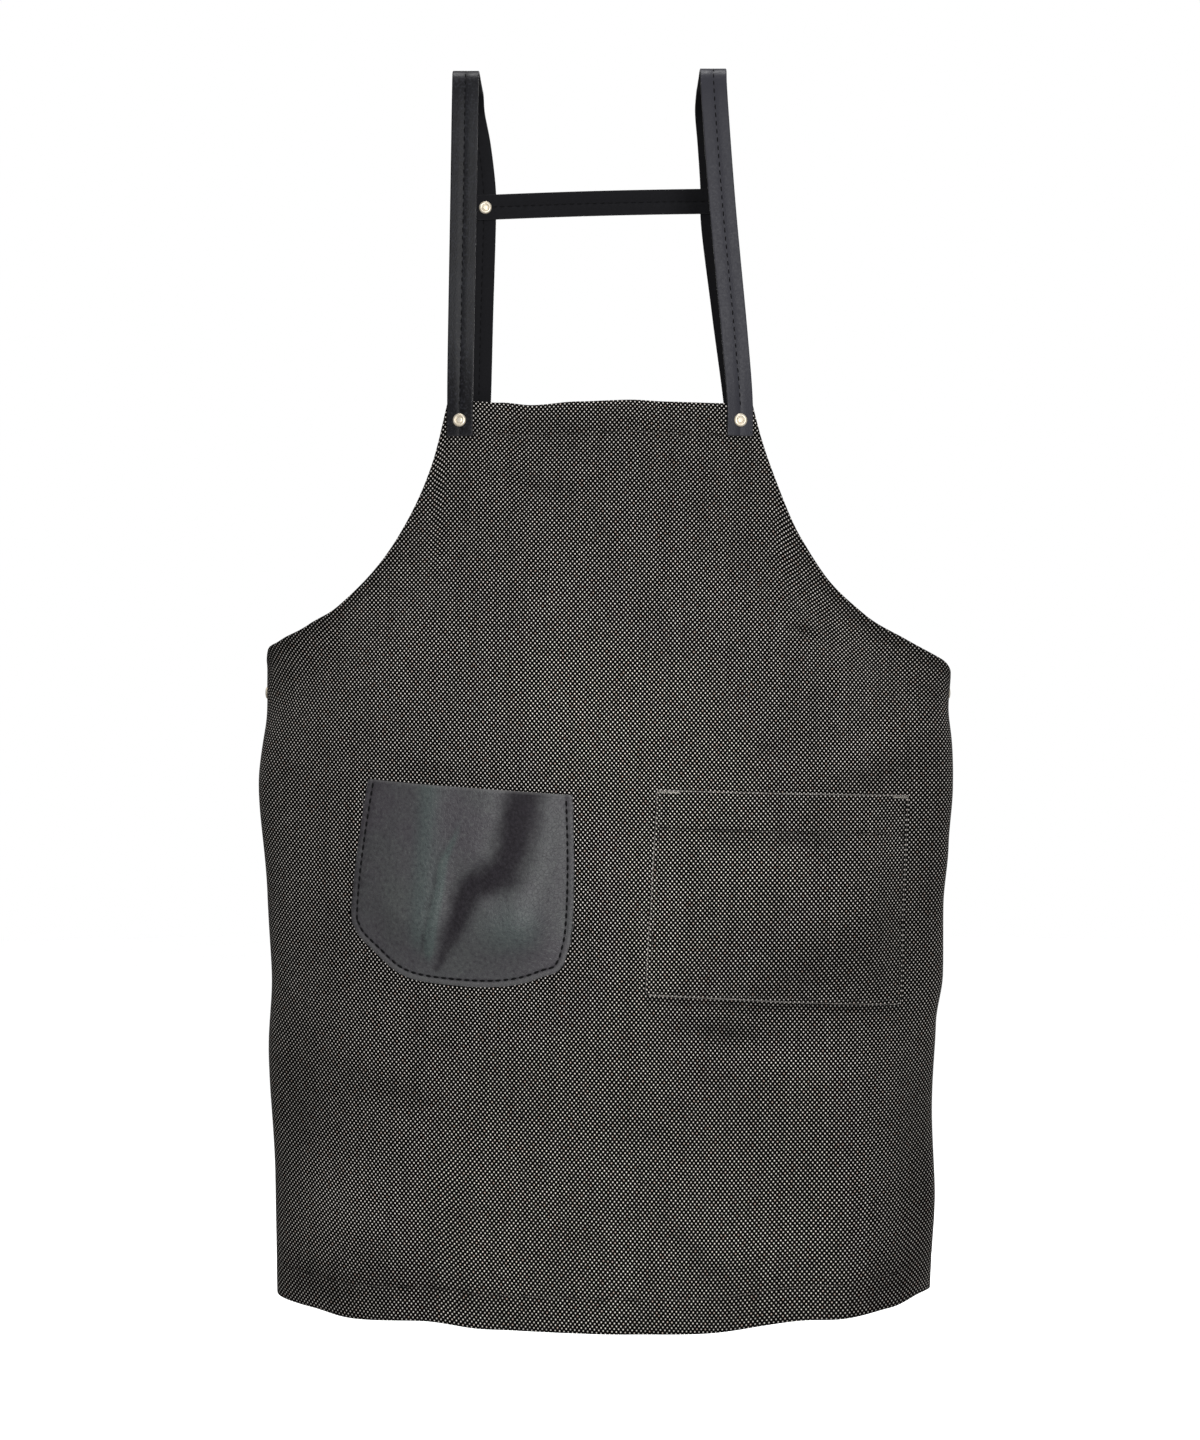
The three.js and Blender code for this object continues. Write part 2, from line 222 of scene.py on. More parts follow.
def awayAt(along, z):
    halfWidth, wrap, turn = turnAt(along, z)
    away = Vector((wrap * math.cos(turn), halfWidth * math.sin(turn), 0)).normalized()
    away.x *= -1 if along < 0 else 1
    return away


def armholeAt(t):
    start, end = cloth["bibWidth"] / 2, cloth["width"] / 2 - cloth["wingCorner"]
    run, drop = cloth["width"] / 2 - start, cloth["armholeDrop"]
    halves = (start, start + 0.11 * run, start + 0.36 * run, end)
    depths = (0, 0.55 * drop, 0.87 * drop, drop)
    shares = ((1 - t) ** 3, 3 * t * (1 - t) ** 2, 3 * t * t * (1 - t), t ** 3)
    return sum(a * b for a, b in zip(shares, halves)), sum(a * b for a, b in zip(shares, depths))


armholeEdge = nearest([(*armholeAt(step / 100), 0) for step in range(101)])


def relief(along, z):
    depth = bibTopZ - z
    low = ease(z, bandTopZ, hemZ) if z < bandTopZ else 0.0
    sway = through(sideSway[-1 if along < 0 else 1], depth) * ease(abs(along), 0.27, 0.395)
    flutes = cloth["flute"] * low * math.sin(along / cloth["fluteWidth"] * math.tau + 0.9)
    flutes *= 1 - ease(abs(along), 0.30, 0.40)
    fromArmhole = armholeEdge.find((abs(along), depth, 0))[2]
    drag = -cloth["drag"] * hump(fromArmhole, 0.045, 0.024) * ease(depth, 0.10, 0.19)
    calm = ease((Vector((abs(along) - 0.134, depth - 0.016))).length, 0.02, 0.06)
    ripple = noise.noise(Vector((along * 11, z * 6, 4.0)))
    ripple += 0.5 * noise.noise(Vector((along * 26, z * 15, 9.0)))
    short = 0.0
    for creaseAlong, creaseDepth, length, reach, height in creases:
        tilt = 0.25 * (along - creaseAlong)
        short += height * hump(along, creaseAlong, length) * hump(depth, creaseDepth + tilt, reach)
    return sway + calm * (flutes + drag + cloth["ripple"] * ripple + short)


def drape(along, z, out=0.0):
    halfWidth, wrap, turn = turnAt(along, z)
    side = -1 if along < 0 else 1
    place = Vector((side * halfWidth * math.cos(turn), frontY + wrap * (1 + math.sin(turn)), z))
    return place + awayAt(along, z) * (out + relief(along, z))


def makeWeaveTable():  # the weave opens a little where the cloth turns away to the sides
    table = [0.0]
    run = weaveOpening["step"]
    for step in range(math.ceil(cloth["width"] / 2 / run) + 2):
        facing = -awayAt(run * (step + 0.5), bandBottomZ).y
        table.append(table[-1] + run * max(facing, weaveOpening["least"]) ** weaveOpening["power"])
    return table


weaveTable = makeWeaveTable()


def weaveAt(along, depth):  # the cut's own weave, a little off grain towards the wearer's right
    place = abs(along) / weaveOpening["step"]
    step = int(place)
    opened = math.copysign(mix(weaveTable[step], weaveTable[step + 1], place - step), along)
    levelling = 0.16 * math.log(math.cosh((along - 0.24) / 0.16))
    slant = 0.0375 * (along - levelling)
    lean = depth * (0.034 - 0.02 * ease(along, 0.1, 0.4))
    return opened + lean, depth * (1 - 0.075 * depth) - slant


# painted shade and painted highlight over the cloth, kept in its shade attribute
def shadeAt(along, depth):
    shade = 1 - paintedLightAndWear["bib"] * (1 - ease(depth, 0.03, 0.22))
    fromArmhole = armholeEdge.find((abs(along), depth, 0))[2]
    shade -= paintedLightAndWear["armholeEdge"] * hump(fromArmhole, 0.004, 0.009) * ease(depth, 0.04, 0.20)
    for atAlong, atDepth, length, reach, slope, amount in shades:
        offset = along - atAlong
        amount *= paintedLightAndWear["gain"]
        shade += amount * hump(offset, 0, length) * hump(depth, atDepth + slope * offset, reach)
    return shade


# Turning plain grids into pieces

def grid(columns, rows):
    mesh = bmesh.new()
    bmesh.ops.create_grid(mesh, x_segments=columns, y_segments=rows, size=1, calc_uvs=True)
    return mesh


def gridPlaces(mesh, columns, rows):  # each vertex with its column and row, from the top left
    mesh.verts.ensure_lookup_table()
    for vert in mesh.verts:
        yield vert, round((vert.co.x + 1) / 2 * columns), round((1 - vert.co.y) / 2 * rows)


def makePiece(name, mesh, material, smooth=True):
    data = bpy.data.meshes.new(name)
    mesh.to_mesh(data)
    mesh.free()
    for polygon in data.polygons:
        polygon.use_smooth = smooth
    piece = bpy.data.objects.new(name, data)
    bpy.context.scene.collection.objects.link(piece)
    data.materials.append(material)
    return piece


def makeCloth(name, mesh, flat):  # flat holds each vertex's place in the weave
    weave = mesh.loops.layers.uv.verify()
    for face in mesh.faces:
        for loop in face.loops:
            loop[weave].uv = flat[loop.vert.index]
    piece = makePiece(name, mesh, canvas)
    piece.data.uv_layers[0].name = "weave"
    return piece


def hangPiece(piece):  # cloth and what is sewn to it bends at the waist as one
    top = Vector((0, 0, bandTopZ + waistBend["above"]))
    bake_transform(piece, "harness", "skirt", start=top, end=(0, 0, bandBottomZ - waistBend["below"]))


# Materials

class Nodes:
    def __init__(self, name):
        self.material = bpy.data.materials.new(name)
        self.material.use_nodes = True
        self.tree = self.material.node_tree
        self.shader = self.tree.nodes["Principled BSDF"]

    def add(self, kind, inputs=None, **settings):
        made = self.tree.nodes.new("ShaderNode" + kind)
        for key, value in settings.items():
            setattr(made, key, value)
        for key, value in (inputs or {}).items():
            self.set(made.inputs[key], value)
        return made

    def set(self, socket, value):
        if isinstance(value, bpy.types.NodeSocket):
            self.tree.links.new(value, socket)
        else:
            socket.default_value = value

    def math(self, operation, a, b=None):
        inputs = {0: a} if b is None else {0: a, 1: b}
        return self.add("Math", inputs, operation=operation).outputs[0]

    def range(self, value, fromLow, fromHigh, toLow=0.0, toHigh=1.0, smooth=False):
        made = self.add("MapRange", {0: value, 1: fromLow, 2: fromHigh, 3: toLow, 4: toHigh})
        made.interpolation_type = "SMOOTHSTEP" if smooth else "LINEAR"
        return made.outputs[0]

    def mix(self, share, a, b):
        made = self.add("Mix", data_type="RGBA")
        self.set(made.inputs[0], share)
        self.set(made.inputs[6], a)
        self.set(made.inputs[7], b)
        return made.outputs[2]

    def noise(self, scale, detail=2.0, roughness=0.5, vector=None):
        made = self.add("TexNoise", {"Scale": scale, "Detail": detail, "Roughness": roughness})
        self.set(made.inputs["Vector"], vector or self.objectPlace())
        return made.outputs["Fac"]

    def objectPlace(self):
        return self.add("TexCoord").outputs["Object"]

    def attribute(self, name):
        return self.add("Attribute", attribute_name=name).outputs["Fac"]

    def bump(self, height, distance, strength=1.0, under=None):
        made = self.add("Bump", {"Height": height, "Distance": distance, "Strength": strength})
        if under is not None:
            self.set(made.inputs["Normal"], under)
        return made.outputs["Normal"]

    def finish(self, **sockets):
        for key, value in sockets.items():
            self.set(self.shader.inputs[key.replace("_", " ")], value)
        return self.material


canvasLook = {
    "pickAcross": 0.00415,
    "pickDown": 0.0023,
    "pickEdge": (0.42, 0.84),
    "faintestPick": 0.64,
    "wander": 0.0016,
    "relief": 0.0003,
    "ground": (0.0010, 0.0009, 0.0008, 1),
    "fuzzyGround": (0.005, 0.0047, 0.0044, 1),
    "pale": (0.90, 0.855, 0.80, 1),
    "brown": (0.60, 0.49, 0.43, 1),
    "edge": (0.26, 0.245, 0.23, 1),
}


def makeCanvas():
    n = Nodes("canvas")
    place = n.add("UVMap", uv_map="weave").outputs["UV"]
    wander = n.add("TexNoise", {"Scale": 26.0, "Detail": 1.0})
    n.set(wander.inputs["Vector"], place)
    shift = n.add("VectorMath", {0: wander.outputs["Color"], 1: (-0.5, -0.5, -0.5)}, operation="ADD")
    shift = n.add("VectorMath", {0: shift.outputs[0], 3: canvasLook["wander"]}, operation="SCALE")
    wandered = n.add("VectorMath", {0: place, 1: shift.outputs[0]}, operation="ADD").outputs[0]
    axes = n.add("SeparateXYZ", {0: wandered})
    across = n.math("DIVIDE", axes.outputs[0], canvasLook["pickAcross"])
    down = n.math("DIVIDE", axes.outputs[1], 2 * canvasLook["pickDown"])
    waveAcross = n.math("COSINE", n.math("MULTIPLY", across, math.tau))
    waveDown = n.math("COSINE", n.math("MULTIPLY", down, math.tau))
    lattice = n.math("MULTIPLY", waveAcross, waveDown)
    # one whole number pair for each pale pick
    cellA = n.math("ROUND", n.math("ADD", across, down))
    cellB = n.math("ROUND", n.math("SUBTRACT", across, down))
    cell = n.add("CombineXYZ", {0: cellA, 1: cellB})
    chance = n.add("TexWhiteNoise", noise_dimensions="2D")
    n.set(chance.inputs["Vector"], cell.outputs[0])
    pick = n.range(lattice, *canvasLook["pickEdge"], smooth=True)
    strength = n.range(chance.outputs["Value"], 0, 1, canvasLook["faintestPick"], 1.0)
    cloud = n.noise(14.0, 3.0)
    strength = n.math("MULTIPLY", strength, n.range(cloud, 0.3, 0.7, 0.90, 1.08))
    # painted shade and painted highlight from the cloth's shade attribute
    strength = n.math("MULTIPLY", strength, n.attribute("shade"))
    # warp ends that show a little more or less all the way down
    stretched = n.add("VectorMath", {0: place, 1: (150.0, 3.0, 1.0)}, operation="MULTIPLY").outputs[0]
    streak = n.noise(1.0, 3.0, 0.6, stretched)
    strength = n.math("MULTIPLY", strength, n.range(streak, 0.3, 0.7, 0.84, 1.08))
    pale = n.mix(n.range(chance.outputs["Value"], 0.86, 1.0), canvasLook["pale"], canvasLook["brown"])
    fuzz = n.noise(900.0, 2.0)
    ground = n.mix(n.range(fuzz, 0.35, 0.8), canvasLook["ground"], canvasLook["fuzzyGround"])
    colour = n.mix(n.math("MULTIPLY", pick, strength), ground, pale)
    # the pale edge colour: on the cloth pocket a painted highlight along its folded edges and rounded rim
    broken = n.range(n.noise(350.0, 2.0), 0.38, 0.60, 0.25, 1.0)
    colour = n.mix(n.math("MULTIPLY", n.attribute("cutEdgeAndHighlight"), broken), colour, canvasLook["edge"])
    height = n.math("ADD", lattice, n.math("MULTIPLY", fuzz, 0.15))
    return n.finish(
        Base_Color=colour,
        Roughness=0.93,
        Specular_IOR_Level=0.03,
        Sheen_Weight=0.01,
        Sheen_Roughness=0.4,
        Sheen_Tint=(0.75, 0.70, 0.66, 1),
        Normal=n.bump(height, canvasLook["relief"], 0.55),
    )


def makeStrapLeather():
    n = Nodes("strap leather")
    pebble = n.add("TexVoronoi", {"Scale": 900.0}, feature="SMOOTH_F1")
    n.set(pebble.inputs["Vector"], n.objectPlace())
    pores = n.noise(420.0, 4.0)
    # wear: the strap face's tone varies at random here
    paintedLightAndWear = n.noise(24.0, 3.0)
    face = n.mix(n.range(paintedLightAndWear, 0.35, 0.7), (0.0055, 0.0055, 0.007, 1), (0.010, 0.0105, 0.013, 1))
    face = n.mix(n.range(pores, 0.5, 0.75), face, (0.024, 0.025, 0.031, 1))
    # painted light: the right strap's face paler, as if lit more than the left
    face = n.mix(n.attribute("paintedLight"), face, (0.030, 0.030, 0.038, 1))
    inner = n.mix(n.range(pores, 0.4, 0.7), (0.0055, 0.0055, 0.007, 1), (0.010, 0.010, 0.012, 1))
    colour = n.mix(n.attribute("innerFace"), face, inner)
    colour = n.mix(n.attribute("cutEdgeAndHighlight"), colour, (0.030, 0.029, 0.032, 1))
    height = n.math("ADD", pebble.outputs["Distance"], n.math("MULTIPLY", pores, 0.6))
    rough = n.range(pores, 0.3, 0.7, 0.40, 0.54)
    rough = n.math("ADD", rough, n.math("MULTIPLY", n.attribute("innerFace"), 0.35))
    return n.finish(
        Base_Color=colour,
        Roughness=rough,
        Specular_IOR_Level=0.16,
        Normal=n.bump(height, 0.00018, 0.7),
    )


def makePocketLeather():
    n = Nodes("pocket leather")
    pores = n.noise(520.0, 5.0)
    broad = n.noise(16.0, 3.0)
    tone = n.mix(n.range(broad, 0.35, 0.68), (0.063, 0.059, 0.066, 1), (0.070, 0.074, 0.074, 1))
    # painted highlight on the ridges and lobes
    paintedSheen = n.range(n.attribute("paintedSheen"), 0.0, 0.8, smooth=True)
    tone = n.mix(paintedSheen, tone, (0.066, 0.083, 0.081, 1))
    uneven = n.range(n.noise(60.0, 4.0, 0.6), 0.3, 0.7, -0.12, 0.12)
    # painted shade in the dent's valley, the crease, the sunk seam and along the left edge
    foldShade = n.range(n.math("ADD", n.attribute("foldShade"), uneven), 0.10, 0.98, smooth=True)
    grain = n.noise(300.0, 3.0, 0.65)
    tone = n.mix(n.range(grain, 0.30, 0.50, 0.45, 0.0), tone, (0.018, 0.014, 0.020, 1))
    tone = n.mix(n.range(grain, 0.55, 0.75, 0.0, 0.55), tone, (0.120, 0.128, 0.122, 1))
    foldShadeColour = n.mix(n.range(grain, 0.40, 0.70), (0.0075, 0.0055, 0.0085, 1), (0.021, 0.0175, 0.023, 1))
    tone = n.mix(foldShade, tone, foldShadeColour)
    colour = n.mix(n.attribute("cutEdgeAndHighlight"), tone, (0.110, 0.108, 0.108, 1))
    wrinkles = n.add("TexVoronoi", {"Scale": 260.0}, feature="DISTANCE_TO_EDGE")
    n.set(wrinkles.inputs["Vector"], n.objectPlace())
    height = n.math("ADD", n.range(wrinkles.outputs["Distance"], 0, 0.12), n.math("MULTIPLY", pores, 0.9))
    return n.finish(
        Base_Color=colour,
        Roughness=n.math("ADD", n.range(pores, 0.3, 0.7, 0.42, 0.52), n.math("MULTIPLY", foldShade, 0.25)),
        Specular_IOR_Level=0.26,
        Normal=n.bump(height, 0.00016, 0.7, under=n.bump(grain, 0.0005, 0.35)),
    )


def makeThread(name, dark, light):
    n = Nodes(name)
    twist = n.add("TexWave", {"Scale": 700.0, "Distortion": 1.5}, bands_direction="DIAGONAL")
    n.set(twist.inputs["Vector"], n.objectPlace())
    colour = n.mix(twist.outputs["Fac"], dark, light)
    return n.finish(
        Base_Color=colour,
        Roughness=0.8,
        Specular_IOR_Level=0.15,
        Normal=n.bump(twist.outputs["Fac"], 0.00008, 0.6),
    )


def makeBrass():
    n = Nodes("brass")
    tarnish = n.noise(240.0, 4.0)
    scratches = n.noise(1600.0, 2.0)
    colour = n.mix(n.range(tarnish, 0.4, 0.75), (0.80, 0.73, 0.60, 1), (0.66, 0.57, 0.43, 1))
    return n.finish(
        Base_Color=colour,
        Metallic=0.6,
        Roughness=n.range(tarnish, 0.3, 0.7, 0.40, 0.50),
        Normal=n.bump(scratches, 0.00001, 0.10),
    )


canvas = makeCanvas()
strapLeather = makeStrapLeather()
pocketLeather = makePocketLeather()
darkThread = makeThread("dark thread", (0.0012, 0.0012, 0.0016, 1), (0.004, 0.004, 0.005, 1))
paleThread = makeThread("pale thread", (0.20, 0.19, 0.17, 1), (0.42, 0.40, 0.36, 1))
hemThread = makeThread("hem thread", (0.020, 0.019, 0.017, 1), (0.09, 0.085, 0.078, 1))
brass = makeBrass()
print("materials made")


# Stitches: each a small capsule along a line of (place, outward) samples

def spaced(line, pitch, margin):
    travelled, wanted = 0.0, margin
    total = sum((b[0] - a[0]).length for a, b in zip(line, line[1:]))
    for before, after in zip(line, line[1:]):
        step = (after[0] - before[0]).length
        while wanted <= travelled + step and wanted <= total - margin:
            share = (wanted - travelled) / step
            yield (
                before[0].lerp(after[0], share),
                before[1].lerp(after[1], share).normalized(),
                (after[0] - before[0]).normalized(),
            )
            wanted += pitch
        travelled += step


def makeStitches(name, lines, material, thread):
    mesh = bmesh.new()
    rand = random.Random(7)
    for line in lines:
        for place, outward, ahead in spaced(line, thread["pitch"], thread["margin"]):
            if any((place - spot).length < clear for spot, clear in thread.get("clearOf", [])):
                continue
            skew = ahead.cross(outward) * rand.uniform(-0.06, 0.06)
            ahead = (ahead + skew).normalized()
            across = ahead.cross(outward).normalized()
            length = thread["length"] / 2 * rand.uniform(0.92, 1.05)
            sizes = (thread["width"] / 2, thread["height"] / 2, length)
            axes = [axis * size for axis, size in zip((across, outward, ahead), sizes)]
            turn = Matrix(axes).transposed().to_4x4()
            turn.translation = place
            bmesh.ops.create_uvsphere(mesh, u_segments=6, v_segments=4, radius=1, matrix=turn)
    bmesh.ops.recalc_face_normals(mesh, faces=mesh.faces)
    return makePiece(name, mesh, material)


# Apron body, one sheet from bib to hem

def clothRows():
    rows = [armholeAt(step / 64) for step in range(65)]
    edge, corner = cloth["width"] / 2, cloth["wingCorner"]
    for step in range(1, 6):
        turn = math.radians(18 * step)
        inward, lower = corner * (1 - math.sin(turn)), corner * (1 - math.cos(turn))
        rows.append((edge - inward, cloth["armholeDrop"] + lower))
    start = cloth["armholeDrop"] + corner
    length = bibTopZ - hemZ
    steps = round((length - start) / 0.0052)
    rows += [(edge, mix(start, length, step / steps)) for step in range(1, steps + 1)]
    seams = (cloth["bibHem"], length - cloth["bottomHem"])
    kept = [row for row in rows if all(abs(row[1] - seam) > 0.0015 for seam in seams)]
    for seam in seams:
        for offset in (-0.0012, 0.0, 0.0012):
            kept.append((halfAt(rows, seam + offset), seam + offset))
    return sorted(kept, key=lambda row: row[1])


def halfAt(rows, depth):
    for (halfA, depthA), (halfB, depthB) in zip(rows, rows[1:]):
        if depthA <= depth <= depthB:
            return mix(halfA, halfB, (depth - depthA) / (depthB - depthA))
    return rows[-1][0]


def clothColumns():  # shares of the width, then distances in from the edge
    inner = [step / 74 for step in range(-74, 75)]
    edges = (0.0128, 0.0104, 0.0096, 0.0065, 0.0030, 0.0010, 0.0)
    return [("edge", -1, inset) for inset in reversed(edges)] + [("share", 1, share) for share in inner] + [
        ("edge", 1, inset) for inset in edges
    ]


def columnPlace(column, half):
    kind, side, amount = column
    return side * (half - amount) if kind == "edge" else amount * (half - 0.016)


def clothPoint(along, depth, out):
    length = bibTopZ - hemZ
    rise = through(bibRise, along) * (1 - ease(depth, 0.0, 0.16))
    fromArmhole = armholeEdge.find((abs(along), depth, 0))[2]
    rise += through(armholeRise[-1 if along < 0 else 1], abs(along)) * (1 - ease(fromArmhole, 0.0, 0.07))
    rise += through(hemRise, along) * ease(depth, length - 0.30, length)
    return drape(along, bibTopZ - depth + rise, out)


# The cloth pocket's sizes, which also place the shadow under it
clothPocket = {
    "width": 0.268,
    "depth": 0.204,
    "corner": 0.006,
    "thickness": 0.0016,
    "gape": 0.0065,
    "reach": 0.050,
    "tilt": 3.0,
    "along": 0.192,
    "belowBib": 0.374,
    "topHem": 0.038,
    "stitchInset": 0.0042,
    "pullAcross": (-0.004, -0.009, -0.0055, -0.004),
    "pullDown": (0.0015, -0.0045, -0.007, -0.002),
}


def pocketShadow(along, depth):  # darker close under the cloth pocket
    half, tilt = clothPocket["width"] / 2, math.radians(clothPocket["tilt"])
    across = along - clothPocket["along"] - clothPocket["pullAcross"][0]
    below = depth - clothPocket["belowBib"]
    x = across * math.cos(tilt) + below * math.sin(tilt)
    down = below * math.cos(tilt) - across * math.sin(tilt)
    pull = mix(clothPocket["pullDown"][2], clothPocket["pullDown"][3], ease(x, -half, half))
    edge = clothPocket["depth"] + pull + 0.003
    return 1 - 0.45 * hump(down, edge, 0.004) * (1 - ease(abs(x), half - 0.004, half + 0.004))


def makeBody():
    rows, columns = clothRows(), clothColumns()
    mesh = grid(len(columns) - 1, len(rows) - 1)
    length = bibTopZ - hemZ
    layers = {}
    flat = {}
    shade = mesh.verts.layers.float.new("shade")
    for vert, column, row in gridPlaces(mesh, len(columns) - 1, len(rows) - 1):
        half, depth = rows[row]
        along = columnPlace(columns[column], half)
        seam = min(abs(depth - cloth["bibHem"]), abs(depth - length + cloth["bottomHem"]))
        sunk = 0.0004 * hump(seam, 0, 0.0012)
        vert.co = clothPoint(along, depth, cloth["thickness"] / 2 - sunk)
        flat[vert.index] = weaveAt(along, depth)
        # painted shade along the sunk hem seams, and the painted shadow under the cloth pocket
        seamShade = 1 - 0.24 * hump(seam, 0, 0.0012)
        vert[shade] = shadeAt(along, depth) * seamShade * pocketShadow(along, depth)
        hemmed = depth < cloth["bibHem"] or depth > length - cloth["bottomHem"]
        hemmed = hemmed or half - abs(along) < cloth["sideHem"]
        layers[vert.index] = 1.0 if hemmed else 0.5
    body = makeCloth("apron_body", mesh, flat)
    group = body.vertex_groups.new(name="layers")
    for index, weight in layers.items():
        group.add([index], weight, "REPLACE")
    wall = body.modifiers.new("cloth and hems", "SOLIDIFY")
    wall.thickness = 2 * cloth["thickness"]
    wall.offset = -1
    wall.vertex_group = "layers"
    area = sum((a[0] + b[0]) * (b[1] - a[1]) for a, b in zip(rows, rows[1:]))
    return body, area


body, bodyArea = makeBody()
hangPiece(body)
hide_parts("bib_panel", "waist_panel", "skirt_panel")
print("apron body made")

hemStitch = {"pitch": 0.0046, "length": 0.0036, "width": 0.0007, "height": 0.0005, "margin": 0.003}


def makeHemThread():
    out = cloth["thickness"] / 2 - 0.0003
    length = bibTopZ - hemZ
    lines = []
    for depth in (cloth["bibHem"], length - cloth["bottomHem"]):
        half = (cloth["bibWidth"] / 2 + 0.002) if depth < 0.1 else cloth["width"] / 2 - 0.004
        steps = round(2 * half / 0.006)
        alongs = [mix(-half, half, step / steps) for step in range(steps + 1)]
        lines.append([(clothPoint(a, depth, out), awayAt(a, bibTopZ - depth)) for a in alongs])
    return lines


hemLines = makeHemThread()
hems = makeStitches("hem_stitches", hemLines, hemThread, hemStitch)
hangPiece(hems)
print("hems stitched")


# Patch pockets

def pocketStand(pocket, inFromSide, upFromBottom):
    reach = pocket["reach"]
    return 0.0003 + pocket["gape"] * ease(inFromSide, 0, reach) * ease(upFromBottom, 0, reach)


def pulled(shifts, pocket, x, down):  # shifts at the top left, top right, bottom left and bottom right
    right, low = x / pocket["width"] + 0.5, down / pocket["depth"]
    return mix(mix(shifts[0], shifts[1], right), mix(shifts[2], shifts[3], right), low)


def pocketPoint(pocket, x, down, off):
    tilt = math.radians(pocket["tilt"])
    right = x + pulled(pocket["pullAcross"], pocket, x, down)
    low = down + pulled(pocket["pullDown"], pocket, x, down)
    along = pocket["along"] + right * math.cos(tilt) - low * math.sin(tilt)
    depth = pocket["belowBib"] + right * math.sin(tilt) + low * math.cos(tilt)
    return clothPoint(along, depth, cloth["thickness"] / 2 + off), (along, depth)


leatherPocket = {
    "width": 0.227,
    "topWidth": 0.206,
    "bellyWidth": 0.223,
    "depth": 0.190,
    "corner": 0.066,
    "thickness": 0.0018,
    "gape": 0.011,
    "reach": 0.060,
    "tilt": 4.0,
    "along": -0.129,
    "belowBib": 0.366,
    "stitchInset": 0.0062,
    "pullAcross": (0.004, 0.0, 0.003, 0.0),
    "pullDown": (0.0, 0.0, 0.0, 0.0),
    "dent": 0.0078,
    "dentLine": [(0.058, -0.008), (0.051, 0.044), (0.041, 0.080), (0.012, 0.095), (0.000, 0.130),
                 (-0.018, 0.176)],
}
leatherStitch = {"pitch": 0.0076, "length": 0.0058, "width": 0.0025, "height": 0.0011, "margin": 0.002}


def leatherHalf(down):
    sideDepth = leatherPocket["depth"] - leatherPocket["corner"]
    belly = math.sin(min(max(down, 0) / sideDepth, 1) * math.pi / 2)
    return mix(leatherPocket["topWidth"], leatherPocket["bellyWidth"], belly) / 2


def leatherDepth(across):
    sideDepth = leatherPocket["depth"] - leatherPocket["corner"]
    depth = sideDepth + leatherPocket["corner"] * (1 - min(abs(across), 1) ** 2.6) ** (1 / 2.6)
    shaped = ease(1 - abs(across), 0, 0.04)
    return depth + shaped * (0.007 * hump(across, 0.93, 0.10) - 0.011 * hump(across, -0.80, 0.24))


def leatherEdge():  # down one side, along the bottom and up the other
    count = 160
    sideDepth = leatherPocket["depth"] - leatherPocket["corner"]
    left = [(-leatherHalf(sideDepth * s / count), sideDepth * s / count) for s in range(count)]
    turns = [math.radians(180 * s / (2 * count)) for s in range(2 * count + 1)]
    acrosses = [-math.cos(turn) for turn in turns]
    bottom = [(a * leatherHalf(leatherDepth(a)), leatherDepth(a)) for a in acrosses]
    right = [(-x, down) for x, down in reversed(left)]
    return left + bottom + right


leatherOutline = leatherEdge()
leatherTree = nearest([(x, down, 0) for x, down in leatherOutline])
dentPoints = [Vector((x, down, 0)) for x, down in leatherPocket["dentLine"]]
dentSteps = 120
dentTree = nearest([curveThrough(dentPoints, step / dentSteps) for step in range(dentSteps + 1)])


def leatherShape(x, down):  # how far the face moves out, with the painted shade and painted highlight of its folds
    place = (x, down, 0)
    inside = leatherTree.find(place)[2]
    spot, number, fromDent = dentTree.find(place)
    share = number / dentSteps
    reach = through([(0.0, 0.0225), (0.42, 0.0205), (0.6, 0.016), (0.8, 0.012), (1.0, 0.006)], share)
    depth = through([(0.0, 1.0), (0.35, 1.0), (0.75, 0.95), (1.0, 0.65)], share)
    valley = depth * hump(fromDent, 0, reach)
    ridge = 0.26 * hump(x, -0.034, 0.013) * (1 - ease(down, 0.14, 0.20))
    ridge += 0.14 * hump(x + 0.06 * down, -0.013, 0.0055) * ease(down, 0.03, 0.08)
    lobe = 0.46 * hump(x, 0.058, 0.038) * hump(down, 0.132, 0.030)
    lobe += 0.26 * hump(x, 0.094, 0.018) * hump(down, 0.04, 0.06)
    wave = math.sin(down * 830 + 2 * math.sin(down * 90))
    pucker = 0.00045 * wave * hump(x + leatherHalf(down), 0.014, 0.009)
    pucker *= ease(down, 0.015, 0.04) * (1 - ease(down, 0.10, 0.14))
    loose = ease(inside, 0.008, 0.040)
    out = leatherPocket["dent"] * loose * (ridge + lobe - valley) + pucker
    out -= 0.0006 * hump(inside, leatherPocket["stitchInset"], 0.0012)
    out += 0.0004 * hump(inside, 0.0026, 0.0018)
    seam = hump(inside, leatherPocket["stitchInset"], 0.0017)
    edge = 0.46 * hump(x + leatherHalf(down), 0.0, 0.020)
    fromCrease = x - through([(0.03, -0.008), (0.084, -0.021), (0.17, -0.031)], down)
    creased = ease(down, 0.02, 0.06) * (1 - ease(down, 0.15, 0.178))
    out -= 0.0009 * creased * hump(fromCrease, 0, 0.0028)
    crease = 0.48 * creased * hump(fromCrease, -0.001, 0.003)
    # painted shade: dark in the valley, the sunk seam, along the left edge and in the crease; painted
    # highlight on the ridges, the lobes and the crease's lit side
    dark = max(valley * ease(inside, 0.004, 0.014), 0.62 * seam, edge, crease)
    paintedHighlight = (ridge * 2.2 + lobe * 1.2) * loose + 0.7 * creased * hump(fromCrease, 0.0055, 0.0035)
    return out, dark, paintedHighlight, inside


def leatherFace(x, down, across):
    half = leatherHalf(down)
    out, valley, paintedSheen, inside = leatherShape(x, down)
    off = pocketStand(leatherPocket, half - abs(x), leatherDepth(across) - down)
    return max(off + out, 0.0003 + 0.5 * (off - 0.0003)) + leatherPocket["thickness"], valley, paintedSheen, inside


